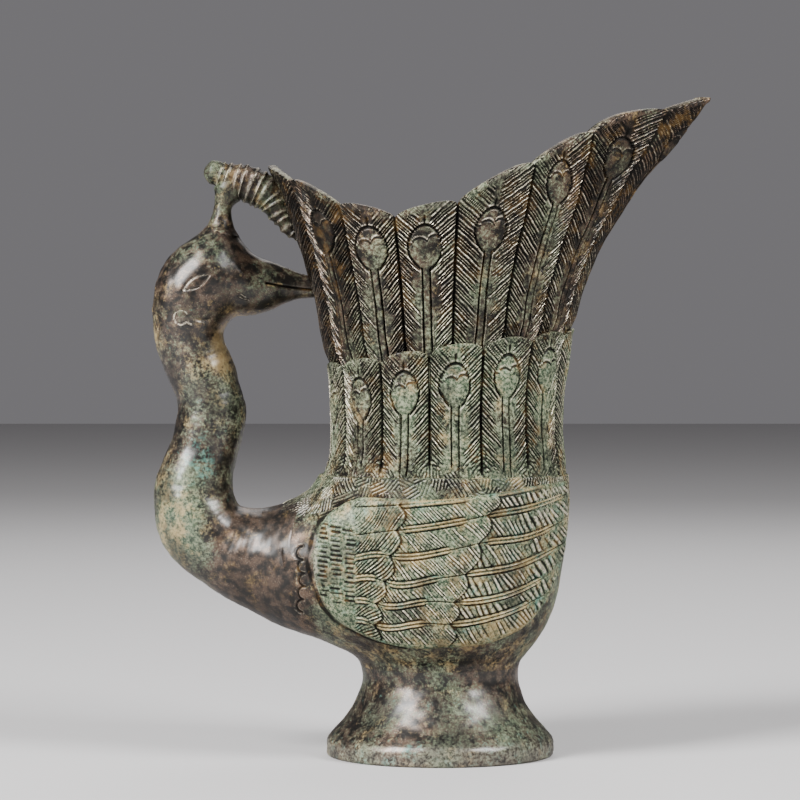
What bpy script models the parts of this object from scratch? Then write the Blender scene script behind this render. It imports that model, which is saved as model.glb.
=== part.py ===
"""Bronze wine cup in the form of a peacock, as the sections it is cast in.

The bird stands on a turned foot. Its body is a bowl, its spread tail is the wall of the cup in two
tiers of feathers, and its neck curves up and back as the handle, with the beak against the wall.
Units are metres, +Z is up and +X is the way the spout points.
"""

import math

import bmesh
import bpy
import numpy as np

# Fits between the sections
CLEARANCE = 0.0003

# Foot
FOOT_RADIUS = 0.0284
FOOT_EDGE_HEIGHT = 0.0050
FOOT_EDGE_ROUND = 0.0008
FOOT_HEIGHT = 0.0220
FOOT_RIM_WIDTH = 0.0055
FOOT_HOLLOW_DEPTH = 0.0150
FOOT_HOLLOW_TOP_RADIUS = 0.0130
COLLAR_RADIUS = 0.0140
COLLAR_HEIGHT = 0.0025
WAIST_RADIUS = 0.0197

# Belly, measured from the axis of the foot
BELLY_HEIGHT = 0.0480
BELLY_FLOOR = 0.0055
BREAST_RISE = 0.0250
BREAST_REACH = 0.0430
TAIL_RISE = 0.0380
TAIL_REACH = 0.0320
BELLY_HALF_WIDTH = 0.0285
WALL = 0.0022
LIP = 0.0011

# Cup wall
CUP_RISE = 0.0160
CUP_BACK = 0.0271
CUP_FRONT = 0.0306
CUP_HALF_WIDTH = 0.0265
MOUTH_BACK = 0.0362
MOUTH_HALF_WIDTH = 0.0335
SPOUT_REACH = 0.0665
RIM_BACK_HEIGHT = 0.1440
RIM_DIP_HEIGHT = 0.1345
SPOUT_TIP_HEIGHT = 0.1635
RIM_WALL = 0.0016
SPOUT_POINT = 1.15

# Feathers
UPPER_EDGES = (-20.0, 20.0, 42.0, 62.0, 85.0, 108.0, 131.0, 156.0, 180.0)
LOWER_EDGES = (-22.0, 22.0, 47.0, 71.5, 96.0, 122.0, 150.0, 180.0)
SPREAD_ANGLE = 12.0
SPREAD_SPAN = 72.0
RIM_SCALLOP = 0.0018
LOWER_TIP_BACK_HEIGHT = 0.0985
LOWER_TIP_FRONT_HEIGHT = 0.1065
LOWER_SCALLOP = 0.0025
LAP = 0.0045
TIP_PROUD = 0.0004
TIER_FADE = 0.0100

# Relief of a feather: places across it run from -1 at one edge to 1 at the other
EDGE_GROOVE = 0.0006
FEATHER_CROWN = 0.0003
STEM_HEIGHT = 0.0004
STEM_GROOVE = 0.0004
STEM_PLACE = 0.20
EYE_HEIGHT = 0.0007
EYE_PLACE = 0.52
EYE_HALF_LENGTH = 0.0046
UPPER_EYE_DROP = 0.0118
LOWER_EYE_DROP = 0.0100
SHOULDER_PLACE = 0.92
RELIEF_START = 0.0020

# Wings
WING_SEAT = 0.0004
WING_THICKNESS = 0.0014
WING_FRONT_ANGLE = 10.0
WING_BACK_ANGLE = 140.0
WING_TOP_HEIGHT = 0.0688
WING_BOTTOM_HEIGHT = 0.0288
WING_EDGE_THICKNESS = 0.0006
WING_STEP = 0.0005
SHAFT_HEIGHT = 0.0004
SHAFTS = 6
WING_COLUMN = 0.07
WING_TIP_WIDTH = 0.004
WING_TIP_ROUND = 0.02

# Outline of a wing: places along it from the breast to the tail, and its edges between those heights
WING_UPPER_EDGE = (
    (0.0, 0.60), (0.02, 0.79), (0.06, 0.85), (0.14, 0.89), (0.30, 0.90), (0.55, 0.93), (0.80, 0.98),
    (1.0, 1.0),
)
WING_LOWER_EDGE = (
    (0.0, 0.47), (0.016, 0.39), (0.034, 0.25), (0.07, 0.12), (0.14, 0.04), (0.25, 0.0), (0.40, 0.0),
    (0.66, 0.05), (0.80, 0.16), (0.92, 0.36), (1.0, 0.58),
)
WING_TIERS = (0.0, 0.14, 0.255, 0.52, 1.0)
WING_ROUND = (0.0, 0.016, 0.034, 0.07)

# Neck: the path is given by its bends, from the breast to the back of the head
NECK_RADIUS = 0.0082
NECK_BORE_RADIUS = 0.0052
NECK_ROOT = (-0.0240, 0.0468)
NECK_BREAST = (-0.0350, 0.0475)
NECK_BEND_START = (-0.0445, 0.0492)
NECK_BEND = (-0.0590, 0.0562)
NECK_RISE = (-0.0617, 0.0662)
NECK_SWELL = (-0.0574, 0.0850)
NECK_HOLLOW = (-0.0615, 0.1008)
NECK_TOP = (-0.0622, 0.1130)
NECK_SWELLING = (2.00, 1.83, 1.56, 1.27, 1.11, 1.00, 1.00, 1.05)

# Head, turned about the line of the beak
HEAD_RADIUS = 0.0115
HEAD_BACK = 0.0118
HEAD_PLACE = (-0.0600, 0.1187)
BEAK_LENGTH = 0.0300
BEAK_TIP_RADIUS = 0.0019
BEAK_DROP_ANGLE = 5.0

# Crest
STALK_RADIUS = 0.0027
STALK_BASE = (-0.0545, 0.1275)
STALK_BOW = (-0.0553, 0.1365)
STALK_TOP = (-0.0525, 0.1420)
PLUME_RADIUS = 0.0044
PLUME_KNOB = (-0.0568, 0.1458)
PLUME_NECK = (-0.0520, 0.1437)
PLUME_BROAD = (-0.0450, 0.1415)
PLUME_SHOULDER = (-0.0395, 0.1380)
PLUME_FOOT = (-0.0362, 0.1290)
PLUME_SWELLING = (0.66, 0.80, 1.02, 1.10, 0.45)

# Mesh steps
TURN_STEPS = 64
HEAD_TURN_STEPS = 32
WALL_STEPS = 5
PATH_STEPS = 4
TUBE_RESOLUTION = 5
FOOT_FLARE_STEPS = 7
HEAD_STEPS = 9
EYE_ROWS = (-1.0, -0.6, 0.0, 0.6, 1.0)

# Heights and places that follow from the sizes above
SEAT_HEIGHT = FOOT_HEIGHT + CLEARANCE
BELLY_TOP = FOOT_HEIGHT + BELLY_HEIGHT
BREAST_HEIGHT = FOOT_HEIGHT + BREAST_RISE
TAIL_HEIGHT = FOOT_HEIGHT + TAIL_RISE
CUP_HEIGHT = BELLY_TOP + CUP_RISE
FLOOR_HEIGHT = SEAT_HEIGHT + COLLAR_HEIGHT + BELLY_FLOOR
BELLY_LEDGE = BELLY_TOP - LAP
LOWER_LEDGE = LOWER_TIP_BACK_HEIGHT - LOWER_SCALLOP - LAP
LAP_OFFSET = TIP_PROUD - LIP - CLEARANCE
AXIS_X = (HEAD_BACK - HEAD_PLACE[0] - SPOUT_REACH) / 2

BRONZE = {
    "foot_bronze": ((0.075, 0.062, 0.045, 1), 0.42),
    "belly_bronze": ((0.070, 0.066, 0.046, 1), 0.46),
    "lower_feather_bronze": ((0.100, 0.120, 0.088, 1), 0.52),
    "upper_feather_bronze": ((0.078, 0.074, 0.052, 1), 0.50),
    "wing_bronze": ((0.115, 0.150, 0.105, 1), 0.55),
    "neck_bronze": ((0.082, 0.070, 0.045, 1), 0.44),
    "head_bronze": ((0.058, 0.050, 0.036, 1), 0.40),
    "crest_bronze": ((0.070, 0.062, 0.046, 1), 0.48),
}
BRONZE_METALLIC = 0.75


def clear_scene():
    """Remove every object that the file starts with."""
    for item in list(bpy.data.objects):
        bpy.data.objects.remove(item, do_unlink=True)


def bronze(name):
    """Return the named cast-bronze material, made on first use."""
    material = bpy.data.materials.get(name)
    if material is None:
        color, roughness = BRONZE[name]
        material = bpy.data.materials.new(name)
        material.use_nodes = True
        shader = material.node_tree.nodes["Principled BSDF"]
        shader.inputs["Base Color"].default_value = color
        shader.inputs["Roughness"].default_value = roughness
        shader.inputs["Metallic"].default_value = BRONZE_METALLIC
    return material


def add_object(name, data, material=None):
    """Link data to the scene as a part, or as a hidden cutter where it has no material."""
    item = bpy.data.objects.new(name, data)
    if material:
        data.materials.append(bronze(material))
        PARTS.objects.link(item)
    else:
        CUTTERS.objects.link(item)
        item.hide_render = True
        item.display_type = "WIRE"
    item.parent = AXIS
    return item


def smooth(item, angle=35.0):
    """Shade a mesh smooth, with its edges over the angle kept sharp."""
    item.data.shade_smooth()
    item.data.set_sharp_from_angle(angle=math.radians(angle))


def cut(item, cutters):
    """Take the cutters' volume off a part."""
    for cutter in cutters:
        boolean = item.modifiers.new("cut_" + cutter.name, "BOOLEAN")
        boolean.operation = "DIFFERENCE"
        boolean.solver = "EXACT"
        boolean.object = cutter


def part_way(z, low, high):
    """Return how far z lies from low to high, from 0 to 1."""
    return np.clip((z - low) / (high - low), 0.0, 1.0)


def swell(z, low, high, start, end):
    """Return a width that grows from start at low to end at high and levels off there."""
    return start + (end - start) * (1 - (1 - part_way(z, low, high)) ** 2)


def waist_in(z, low, high, start, end):
    """Return a width that leaves start level at low and comes in to end at high."""
    return start + (end - start) * part_way(z, low, high) ** 1.5


def flare(z, low, high, start, end, power):
    """Return a width that opens from start at low, by a power of the height, to end at high."""
    return start + (end - start) * ((np.maximum(z, low) - low) / (high - low)) ** power


def section(z):
    """Return the reach back, the reach to the front, the half width and the point of the plan at z."""
    z = np.asarray(z, dtype=float)
    low = z <= CUP_HEIGHT
    back = np.where(
        z < BREAST_HEIGHT,
        swell(z, SEAT_HEIGHT, BREAST_HEIGHT, WAIST_RADIUS, BREAST_REACH),
        waist_in(z, BREAST_HEIGHT, BELLY_TOP, BREAST_REACH, CUP_BACK),
    )
    back = np.where(low, back, flare(z, CUP_HEIGHT, RIM_BACK_HEIGHT, CUP_BACK, MOUTH_BACK, 1.5))
    front = np.where(
        z < TAIL_HEIGHT,
        swell(z, SEAT_HEIGHT, TAIL_HEIGHT, WAIST_RADIUS, TAIL_REACH),
        waist_in(z, TAIL_HEIGHT, CUP_HEIGHT, TAIL_REACH, CUP_FRONT),
    )
    front = np.where(low, front, flare(z, CUP_HEIGHT, SPOUT_TIP_HEIGHT, CUP_FRONT, SPOUT_REACH, 1.85))
    half = np.where(
        z < BREAST_HEIGHT,
        swell(z, SEAT_HEIGHT, BREAST_HEIGHT, WAIST_RADIUS, BELLY_HALF_WIDTH),
        waist_in(z, BREAST_HEIGHT, CUP_HEIGHT, BELLY_HALF_WIDTH, CUP_HALF_WIDTH),
    )
    half = np.where(low, half, flare(z, CUP_HEIGHT, RIM_DIP_HEIGHT, CUP_HALF_WIDTH, MOUTH_HALF_WIDTH, 1.5))
    point = SPOUT_POINT * part_way(z, CUP_HEIGHT, SPOUT_TIP_HEIGHT)
    return back, front, half, point


def wall_points(angle, z, offset):
    """Return points on the body's surface, moved out by offset.

    The plan at a height is a half ellipse to the back and a drop shape to the front, whose nose
    narrows with a power of the sine of the half angle.
    """
    back, front, half, point = section(z)
    nose = np.abs(np.sin(angle / 2)) ** point
    fullest = 2 * np.arctan(np.sqrt(1 + point))
    widest = np.sin(fullest) * np.sin(fullest / 2) ** point
    reach = np.where(np.cos(angle) > 0, front + offset * (1 + point), back + offset)
    x = reach * np.cos(angle)
    y = (half + offset) * np.sin(angle) * nose / widest
    return np.stack([x, y, np.broadcast_to(z, x.shape)], axis=-1)


def belly_offset(z):
    """Return how far the belly stands out of the surface: by its lip at the top, not at all below."""
    return LIP * part_way(z, BREAST_HEIGHT, BELLY_TOP)


def loft(name, rings, material=None, first_pole=None, last_pole=None):
    """Skin closed rings in order; the ends close on poles, or on each other where there are none."""
    rings = np.asarray(rings)
    count, sides, _ = rings.shape
    vertices = [tuple(point) for point in rings.reshape(-1, 3)]
    turns = count if first_pole is None else count - 1
    faces = []
    for ring in range(turns):
        low = ring * sides
        high = (ring + 1) % count * sides
        for side in range(sides):
            after = (side + 1) % sides
            faces.append((low + side, low + after, high + after, high + side))
    if first_pole is not None:
        start = len(vertices)
        end = start + 1
        vertices += [first_pole, last_pole]
        top = (count - 1) * sides
        for side in range(sides):
            after = (side + 1) % sides
            faces.append((start, after, side))
            faces.append((top + side, top + after, end))
    mesh = bpy.data.meshes.new(name)
    mesh.from_pydata(vertices, [], faces)
    item = add_object(name, mesh, material)
    smooth(item)
    return item


def turned(name, profile, steps, material=None):
    """Turn a profile of (radius, height) points, listed down its outer side, about the Z axis."""
    mesh = bpy.data.meshes.new(name)
    points = [(radius, 0.0, height) for radius, height in profile]
    edges = [(index, index + 1) for index in range(len(points) - 1)]
    mesh.from_pydata(points, edges, [])
    item = add_object(name, mesh, material)
    screw = item.modifiers.new("turn", "SCREW")
    screw.steps = steps
    screw.render_steps = steps
    screw.use_merge_vertices = True
    screw.merge_threshold = 0.00001
    screw.use_smooth_shade = True
    return item


def smooth_path(stations):
    """Return points on a smooth curve through the stations, each given as (x, z, radius)."""
    stations = np.array(stations, dtype=float)
    padded = np.vstack([2 * stations[0] - stations[1], stations, 2 * stations[-1] - stations[-2]])
    points = []
    for index in range(len(stations) - 1):
        before, start, end, after = padded[index:index + 4]
        for step in range(PATH_STEPS):
            t = step / PATH_STEPS
            points.append(
                0.5 * (2 * start + (end - before) * t
                       + (2 * before - 5 * start + 4 * end - after) * t ** 2
                       + (3 * start - 3 * end + after - before) * t ** 3)
            )
    points.append(stations[-1])
    return points


def tube(name, places, radii, material=None):
    """Return a round tube in the plane of the bird, through the places, with a radius at each."""
    curve = bpy.data.curves.new(name + "_path", "CURVE")
    curve.dimensions = "3D"
    curve.bevel_depth = 1.0
    curve.bevel_resolution = TUBE_RESOLUTION
    curve.use_fill_caps = True
    points = smooth_path([(x, z, radius) for (x, z), radius in zip(places, radii)])
    spline = curve.splines.new("POLY")
    spline.points.add(len(points) - 1)
    for target, (x, z, radius) in zip(spline.points, points):
        target.co = (x, 0.0, z, 1.0)
        target.radius = radius
    path = bpy.data.objects.new(name + "_path", curve)
    CUTTERS.objects.link(path)
    bpy.context.view_layer.update()
    mesh = bpy.data.meshes.new_from_object(path.evaluated_get(bpy.context.evaluated_depsgraph_get()))
    bpy.data.objects.remove(path, do_unlink=True)
    shell = bmesh.new()
    shell.from_mesh(mesh)
    bmesh.ops.remove_doubles(shell, verts=shell.verts, dist=0.00001)
    bmesh.ops.recalc_face_normals(shell, faces=shell.faces)
    shell.to_mesh(mesh)
    shell.free()
    mesh.materials.clear()
    mesh.name = name
    item = add_object(name, mesh, material)
    smooth(item)
    return item


def round_angles():
    """Return even angles once round the body."""
    return np.arange(TURN_STEPS) * 2 * math.pi / TURN_STEPS


def feather_angles(edges):
    """Return the angles once round a tier, and the place across its feather for each.

    The edges are those of one flank from the spout to the back, and the other flank mirrors them.
    """
    edges = np.radians(edges)
    edges = np.concatenate([edges, (2 * math.pi - edges[::-1])[1:-1]])
    right = (0.0, STEM_PLACE, EYE_PLACE, SHOULDER_PLACE)
    across = np.array([-1.0] + [-place for place in right[:0:-1]] + list(right))
    middle = (edges[1:] + edges[:-1]) / 2
    half = (edges[1:] - edges[:-1]) / 2
    angle = middle[:, None] + half[:, None] * across
    return angle.ravel(), np.tile(across, len(middle))


def spread(angle, z):
    """Return the angles of the feathers at z: beside the spout they swing away from it as they rise."""
    from_spout = np.arctan2(np.sin(angle), np.cos(angle))
    swing = np.sin(math.pi * np.clip(np.abs(from_spout) / math.radians(SPREAD_SPAN), 0.0, 1.0))
    amount = math.radians(SPREAD_ANGLE) * part_way(z, RIM_DIP_HEIGHT, SPOUT_TIP_HEIGHT)
    return angle + np.sign(from_spout) * swing * amount


def feather_relief(across, from_eye):
    """Return how far feathers stand off the wall, at a height in half lengths of the eye from it.

    Each is crowned between edge grooves. Its stem is a rib between two grooves up to the eye, a boss.
    """
    place = np.abs(across)
    relief = FEATHER_CROWN * (1 - across ** 2) - tip_groove(across)
    stem = np.interp(place, (0.0, STEM_PLACE, EYE_PLACE), (STEM_HEIGHT, -STEM_GROOVE, 0.0))
    boss = EYE_HEIGHT * np.sqrt(np.clip(1 - (across / EYE_PLACE) ** 2 - from_eye ** 2, 0.0, 1.0))
    return relief + np.where(from_eye <= -1, stem, boss)


def lower_tips(angle, across):
    """Return the height of the lower feathers' tips, which climb towards the spout."""
    climb = (1 + np.cos(angle)) / 2
    height = LOWER_TIP_BACK_HEIGHT + (LOWER_TIP_FRONT_HEIGHT - LOWER_TIP_BACK_HEIGHT) * climb
    return height - LOWER_SCALLOP * (1 - np.sqrt(1 - across ** 2))


def tip_groove(across):
    """Return the depth of the groove that is left at a feather's tip: only at its edges."""
    return EDGE_GROOVE * (np.abs(across) > SHOULDER_PLACE)


def rim_height(angle, across):
    """Return the height of the rim: a dip at the sides between the high back and the spout."""
    front = np.clip(np.cos(angle), 0.0, 1.0) ** 0.75
    back = np.clip(-np.cos(angle), 0.0, 1.0) ** 2
    height = RIM_DIP_HEIGHT + (RIM_BACK_HEIGHT - RIM_DIP_HEIGHT) * back
    height = height + (SPOUT_TIP_HEIGHT - RIM_DIP_HEIGHT) * front
    shallow = 1 - np.clip(np.cos(angle), 0.0, 1.0) ** 4
    return height - RIM_SCALLOP * shallow * (1 - np.sqrt(1 - across ** 2))


def build_foot():
    """Turn the hollow pedestal, with a collar above that centres the belly."""
    flare_low = FOOT_EDGE_HEIGHT
    flare_radius = FOOT_RADIUS - FOOT_EDGE_ROUND
    profile = [(0.0, FOOT_HEIGHT + COLLAR_HEIGHT), (COLLAR_RADIUS, FOOT_HEIGHT + COLLAR_HEIGHT)]
    profile += [(COLLAR_RADIUS, FOOT_HEIGHT)]
    for step in range(FOOT_FLARE_STEPS + 1):
        down = step / FOOT_FLARE_STEPS
        radius = WAIST_RADIUS + (flare_radius - WAIST_RADIUS) * down ** 1.8
        profile.append((radius, FOOT_HEIGHT + (flare_low - FOOT_HEIGHT) * down))
    profile += [(FOOT_RADIUS, flare_low - FOOT_EDGE_ROUND), (FOOT_RADIUS, FOOT_EDGE_ROUND)]
    profile += [(flare_radius, 0.0), (FOOT_RADIUS - FOOT_RIM_WIDTH, 0.0)]
    profile += [(FOOT_HOLLOW_TOP_RADIUS, FOOT_HOLLOW_DEPTH), (0.0, FOOT_HOLLOW_DEPTH)]
    return turned("foot", profile, TURN_STEPS, "foot_bronze")


def build_belly():
    """Loft the bowl of the body: recess for the collar below, breast to the back, rebate above."""
    angle = round_angles()
    recess_top = SEAT_HEIGHT + COLLAR_HEIGHT
    recess = (COLLAR_RADIUS + CLEARANCE) * np.stack([np.cos(angle), np.sin(angle), 0 * angle], axis=-1)
    rings = [recess + (0, 0, recess_top), recess + (0, 0, SEAT_HEIGHT)]
    for z in np.linspace(SEAT_HEIGHT, BREAST_HEIGHT, WALL_STEPS):
        rings.append(wall_points(angle, z, 0.0))
    for z in np.linspace(BREAST_HEIGHT, BELLY_TOP, WALL_STEPS)[1:]:
        rings.append(wall_points(angle, z, belly_offset(z)))
    rings.append(wall_points(angle, BELLY_TOP, 0.0))
    rings.append(wall_points(angle, BELLY_LEDGE, 0.0))
    rings.append(wall_points(angle, BELLY_LEDGE, -WALL))
    for z in np.linspace(BREAST_HEIGHT, FLOOR_HEIGHT, WALL_STEPS):
        rings.append(wall_points(angle, z, -WALL))
    return loft("belly", rings, "belly_bronze", (0, 0, recess_top), (0, 0, FLOOR_HEIGHT))


def build_lower_feathers():
    """Loft the lower tier: it stands in the belly's rebate and has scalloped tips above."""
    angle, across = feather_angles(LOWER_EDGES)
    tips = lower_tips(angle, across)
    eye = lower_tips(angle, 0.0) - LOWER_EYE_DROP
    start = BELLY_LEDGE + CLEARANCE
    rings = [wall_points(angle, start, -CLEARANCE), wall_points(angle, BELLY_TOP, -CLEARANCE)]
    for z in [BELLY_TOP + RELIEF_START] + [eye + EYE_HALF_LENGTH * row for row in EYE_ROWS]:
        proud = TIP_PROUD * part_way(z, BELLY_TOP, tips)
        rings.append(wall_points(angle, z, proud + feather_relief(across, (z - eye) / EYE_HALF_LENGTH)))
    rings.append(wall_points(angle, tips, TIP_PROUD - tip_groove(across)))
    rings.append(wall_points(angle, tips, TIP_PROUD - LIP))
    rings.append(wall_points(angle, LOWER_LEDGE, TIP_PROUD - LIP))
    for z in (LOWER_LEDGE, CUP_HEIGHT, BELLY_TOP, start):
        rings.append(wall_points(angle, z, -WALL))
    return loft("lower_feathers", rings, "lower_feather_bronze")


def upper_rim(angle, across):
    """Return the height of the rim above each feather's foot, where the feathers have spread."""
    level = rim_height(angle, across)
    return rim_height(spread(angle, level), across)


def upper_face(angle, across, grown):
    """Return rings up the outer face of the upper tier, from the lower tips to the rim."""
    rim = upper_rim(angle, across)
    eye = upper_rim(angle, 0.0) - UPPER_EYE_DROP
    free = lower_tips(angle, 0.0)
    faded = free + TIER_FADE
    eye_foot = eye + EYE_HALF_LENGTH * EYE_ROWS[0]
    heights = [free + RELIEF_START] + [faded + (eye_foot - faded) * step for step in (0, 1 / 3, 2 / 3)]
    heights += [eye + EYE_HALF_LENGTH * row for row in EYE_ROWS]
    rings = [wall_points(angle, free, grown + LAP_OFFSET)]
    for z in heights:
        lapped = LAP_OFFSET * (1 - part_way(z, free, faded))
        relief = feather_relief(across, (z - eye) / EYE_HALF_LENGTH)
        rings.append(wall_points(spread(angle, z), z, grown + lapped + relief))
    rings.append(wall_points(spread(angle, rim), rim, grown - tip_groove(across)))
    return rings


def build_upper_feathers():
    """Loft the upper tier: it stands inside the lower tips and opens to the rim and the spout."""
    angle, across = feather_angles(UPPER_EDGES)
    rim = upper_rim(angle, across)
    start = LOWER_LEDGE + CLEARANCE
    lapped = (start + lower_tips(angle, 0.0)) / 2
    rings = [wall_points(angle, start, LAP_OFFSET), wall_points(angle, lapped, LAP_OFFSET)]
    rings += upper_face(angle, across, 0.0)
    for step in np.linspace(1, 0, WALL_STEPS):
        z = start + (rim - start) * step
        inner = (LAP_OFFSET - WALL) * (1 - step) - RIM_WALL * step
        rings.append(wall_points(spread(angle, z), z, inner))
    return loft("upper_feathers", rings, "upper_feather_bronze")


def wing_points(along, across, side, offset):
    """Return points over the flank, from a wing's lower edge at 0 across to its upper edge at 1."""
    angle = np.radians(WING_BACK_ANGLE + (WING_FRONT_ANGLE - WING_BACK_ANGLE) * along)
    low = np.interp(along, *np.transpose(WING_LOWER_EDGE))
    high = np.interp(along, *np.transpose(WING_UPPER_EDGE))
    z = WING_BOTTOM_HEIGHT + (WING_TOP_HEIGHT - WING_BOTTOM_HEIGHT) * (low + (high - low) * across)
    points = wall_points(angle, z, offset + belly_offset(z))
    return points * (1, side, 1)


def wing_columns():
    """Return places along a wing and how far each is along its tier: tiers end in a sharp step."""
    columns = [(place, place / WING_TIERS[1]) for place in WING_ROUND]
    for start, end in zip(WING_TIERS[1:-1], WING_TIERS[2:]):
        columns += [(start - WING_TIP_WIDTH, 1.0), (start + WING_TIP_WIDTH, 0.0)]
        steps = math.ceil((end - start) / WING_COLUMN)
        columns += [(start + (end - start) * step / steps, step / steps) for step in range(1, steps)]
    return columns + [(1.0, 1.0)]


def build_wing(name, side):
    """Loft a thin plate over the flank, from the breast to the tail.

    Each ring crosses the outer face, with a ridge at every shaft, and returns behind it. The tiers of
    feathers thicken towards their tips, which are round, and step down to the next.
    """
    bands = 2 * SHAFTS
    face = np.concatenate([[0.0, 0.3], np.arange(1, bands), [bands - 0.3, bands]]) / bands
    edge = np.minimum(face, 1 - face) * bands
    shaft = np.sin(face * bands * math.pi / 2) ** 2
    behind = np.linspace(1, 0, 2 * WALL_STEPS)
    rings = []
    for place, grown in wing_columns():
        feathered = place > WING_TIERS[1]
        tip = WING_TIP_ROUND * (shaft - 0.5) * (0 < place < 1) * feathered
        relief = WING_STEP * grown + SHAFT_HEIGHT * shaft * feathered
        thickness = np.where(edge > 0, WING_THICKNESS + relief, WING_EDGE_THICKNESS)
        outer = wing_points(place + tip, face, side, WING_SEAT + thickness)
        inner = wing_points(place + 0 * behind, behind, side, WING_SEAT)
        rings.append(np.concatenate([outer, inner]))
    if side < 0:
        rings = rings[::-1]
    return loft(name, rings, "wing_bronze", tuple(rings[0].mean(axis=0)), tuple(rings[-1].mean(axis=0)))


def build_body_envelope():
    """Return a cutter that holds the belly, grown by the clearance."""
    angle = round_angles()
    rings = []
    for z in np.linspace(SEAT_HEIGHT, BREAST_HEIGHT, WALL_STEPS):
        rings.append(wall_points(angle, z, CLEARANCE))
    for z in np.linspace(BREAST_HEIGHT, BELLY_TOP, WALL_STEPS)[1:]:
        rings.append(wall_points(angle, z, CLEARANCE + belly_offset(z)))
    return loft("body_envelope", rings, None, (0, 0, SEAT_HEIGHT), (0, 0, BELLY_TOP))


def build_cup_envelope():
    """Return a cutter that holds the upper tier, grown by the clearance and carried on above the rim."""
    angle, across = feather_angles(UPPER_EDGES)
    rings = upper_face(angle, across, CLEARANCE)
    rings.append(rings[-1] + (0, 0, LAP))
    foot = LOWER_TIP_BACK_HEIGHT
    return loft("cup_envelope", rings, None, (0, 0, foot), (0, 0, SPOUT_TIP_HEIGHT + LAP))


def build_head(name, grown, material=None):
    """Turn the head: round behind, drawn out to the beak in front, grown by an amount all over."""
    profile = [(0.0, BEAK_LENGTH + grown)]
    for step in range(HEAD_STEPS + 1):
        along = 1 - step / HEAD_STEPS
        width = BEAK_TIP_RADIUS + (HEAD_RADIUS - BEAK_TIP_RADIUS) * math.cos(along * math.pi / 2) ** 2
        profile.append((width + grown, along * (BEAK_LENGTH + grown)))
    for step in range(1, HEAD_STEPS):
        turn = step / HEAD_STEPS * math.pi / 2
        profile.append(((HEAD_RADIUS + grown) * math.cos(turn), -(HEAD_BACK + grown) * math.sin(turn)))
    profile.append((0.0, -(HEAD_BACK + grown)))
    item = turned(name, profile, HEAD_TURN_STEPS, material)
    item.location = (HEAD_PLACE[0], 0.0, HEAD_PLACE[1])
    item.rotation_euler = (0.0, math.radians(90 + BEAK_DROP_ANGLE), 0.0)
    return item


def build_neck(envelope):
    """Draw the hollow S of the neck, fitted to the breast below and to the head above."""
    places = [NECK_ROOT, NECK_BREAST, NECK_BEND_START, NECK_BEND]
    places += [NECK_RISE, NECK_SWELL, NECK_HOLLOW, NECK_TOP]
    radii = [NECK_RADIUS * swelling for swelling in NECK_SWELLING]
    wall = NECK_RADIUS - NECK_BORE_RADIUS
    neck = tube("neck", places, radii, "neck_bronze")
    bore = tube("neck_bore", places[:-1], [radius - wall for radius in radii[:-1]])
    cut(neck, [bore, envelope, build_head("head_seat", CLEARANCE)])


def build_crest(envelope):
    """Draw the stalk from the crown to the plume, and the plume from its knob to the cup."""
    plume_places = [PLUME_KNOB, PLUME_NECK, PLUME_BROAD, PLUME_SHOULDER, PLUME_FOOT]
    radii = [PLUME_RADIUS * swelling for swelling in PLUME_SWELLING]
    plume = tube("crest_plume", plume_places, radii, "crest_bronze")
    cut(plume, [envelope])
    stalk = tube("crest_stalk", [STALK_BASE, STALK_BOW, STALK_TOP], [STALK_RADIUS] * 3, "crest_bronze")
    plume_seat = tube("plume_seat", plume_places, [radius + CLEARANCE for radius in radii])
    cut(stalk, [bpy.data.objects["head_seat"], plume_seat])


def build():
    """Build the cup, one object for each section."""
    build_foot()
    build_belly()
    build_lower_feathers()
    build_upper_feathers()
    build_wing("left_wing", 1)
    build_wing("right_wing", -1)
    cup_envelope = build_cup_envelope()
    head = build_head("head", 0.0, "head_bronze")
    cut(head, [cup_envelope])
    build_neck(build_body_envelope())
    build_crest(cup_envelope)


clear_scene()
PARTS = bpy.data.collections.new("peacock_wine_cup")
CUTTERS = bpy.data.collections.new("cutters")
bpy.context.scene.collection.children.link(PARTS)
bpy.context.scene.collection.children.link(CUTTERS)
AXIS = bpy.data.objects.new("foot_axis", None)
AXIS.location = (AXIS_X, 0.0, 0.0)
PARTS.objects.link(AXIS)
build()
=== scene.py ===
"""Looks of the bronze peacock wine cup: chased feathers, wings, head and crest in patinated bronze."""

import math

import bpy
import numpy as np
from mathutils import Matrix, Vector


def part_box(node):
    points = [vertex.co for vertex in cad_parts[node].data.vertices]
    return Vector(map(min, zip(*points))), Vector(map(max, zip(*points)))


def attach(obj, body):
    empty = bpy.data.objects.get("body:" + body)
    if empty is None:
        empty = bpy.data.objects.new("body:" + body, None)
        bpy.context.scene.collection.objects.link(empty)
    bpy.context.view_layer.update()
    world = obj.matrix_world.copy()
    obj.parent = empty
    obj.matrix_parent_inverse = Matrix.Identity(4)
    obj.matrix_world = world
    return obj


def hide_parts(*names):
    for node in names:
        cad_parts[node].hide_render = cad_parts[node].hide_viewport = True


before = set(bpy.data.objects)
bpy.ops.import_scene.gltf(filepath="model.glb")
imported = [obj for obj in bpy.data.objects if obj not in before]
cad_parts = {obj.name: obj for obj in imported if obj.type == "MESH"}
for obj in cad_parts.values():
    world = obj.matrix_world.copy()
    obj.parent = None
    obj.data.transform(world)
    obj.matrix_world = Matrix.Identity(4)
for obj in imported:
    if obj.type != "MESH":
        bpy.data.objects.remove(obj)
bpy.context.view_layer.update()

MM = 0.001
RANDOM = np.random.default_rng(7)

# Places taken from the frame: the axis of the foot, and the heights where the sections meet
foot_low, foot_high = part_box("foot")
AXIS_X = (foot_low[0] + foot_high[0]) / 2
FOOT_RADIUS = (foot_high[0] - foot_low[0]) / 2
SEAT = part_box("belly")[0][2]
BELLY_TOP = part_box("belly")[1][2]
LAP_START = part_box("upper_feathers")[0][2]
LOWER_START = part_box("lower_feathers")[0][2]

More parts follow.
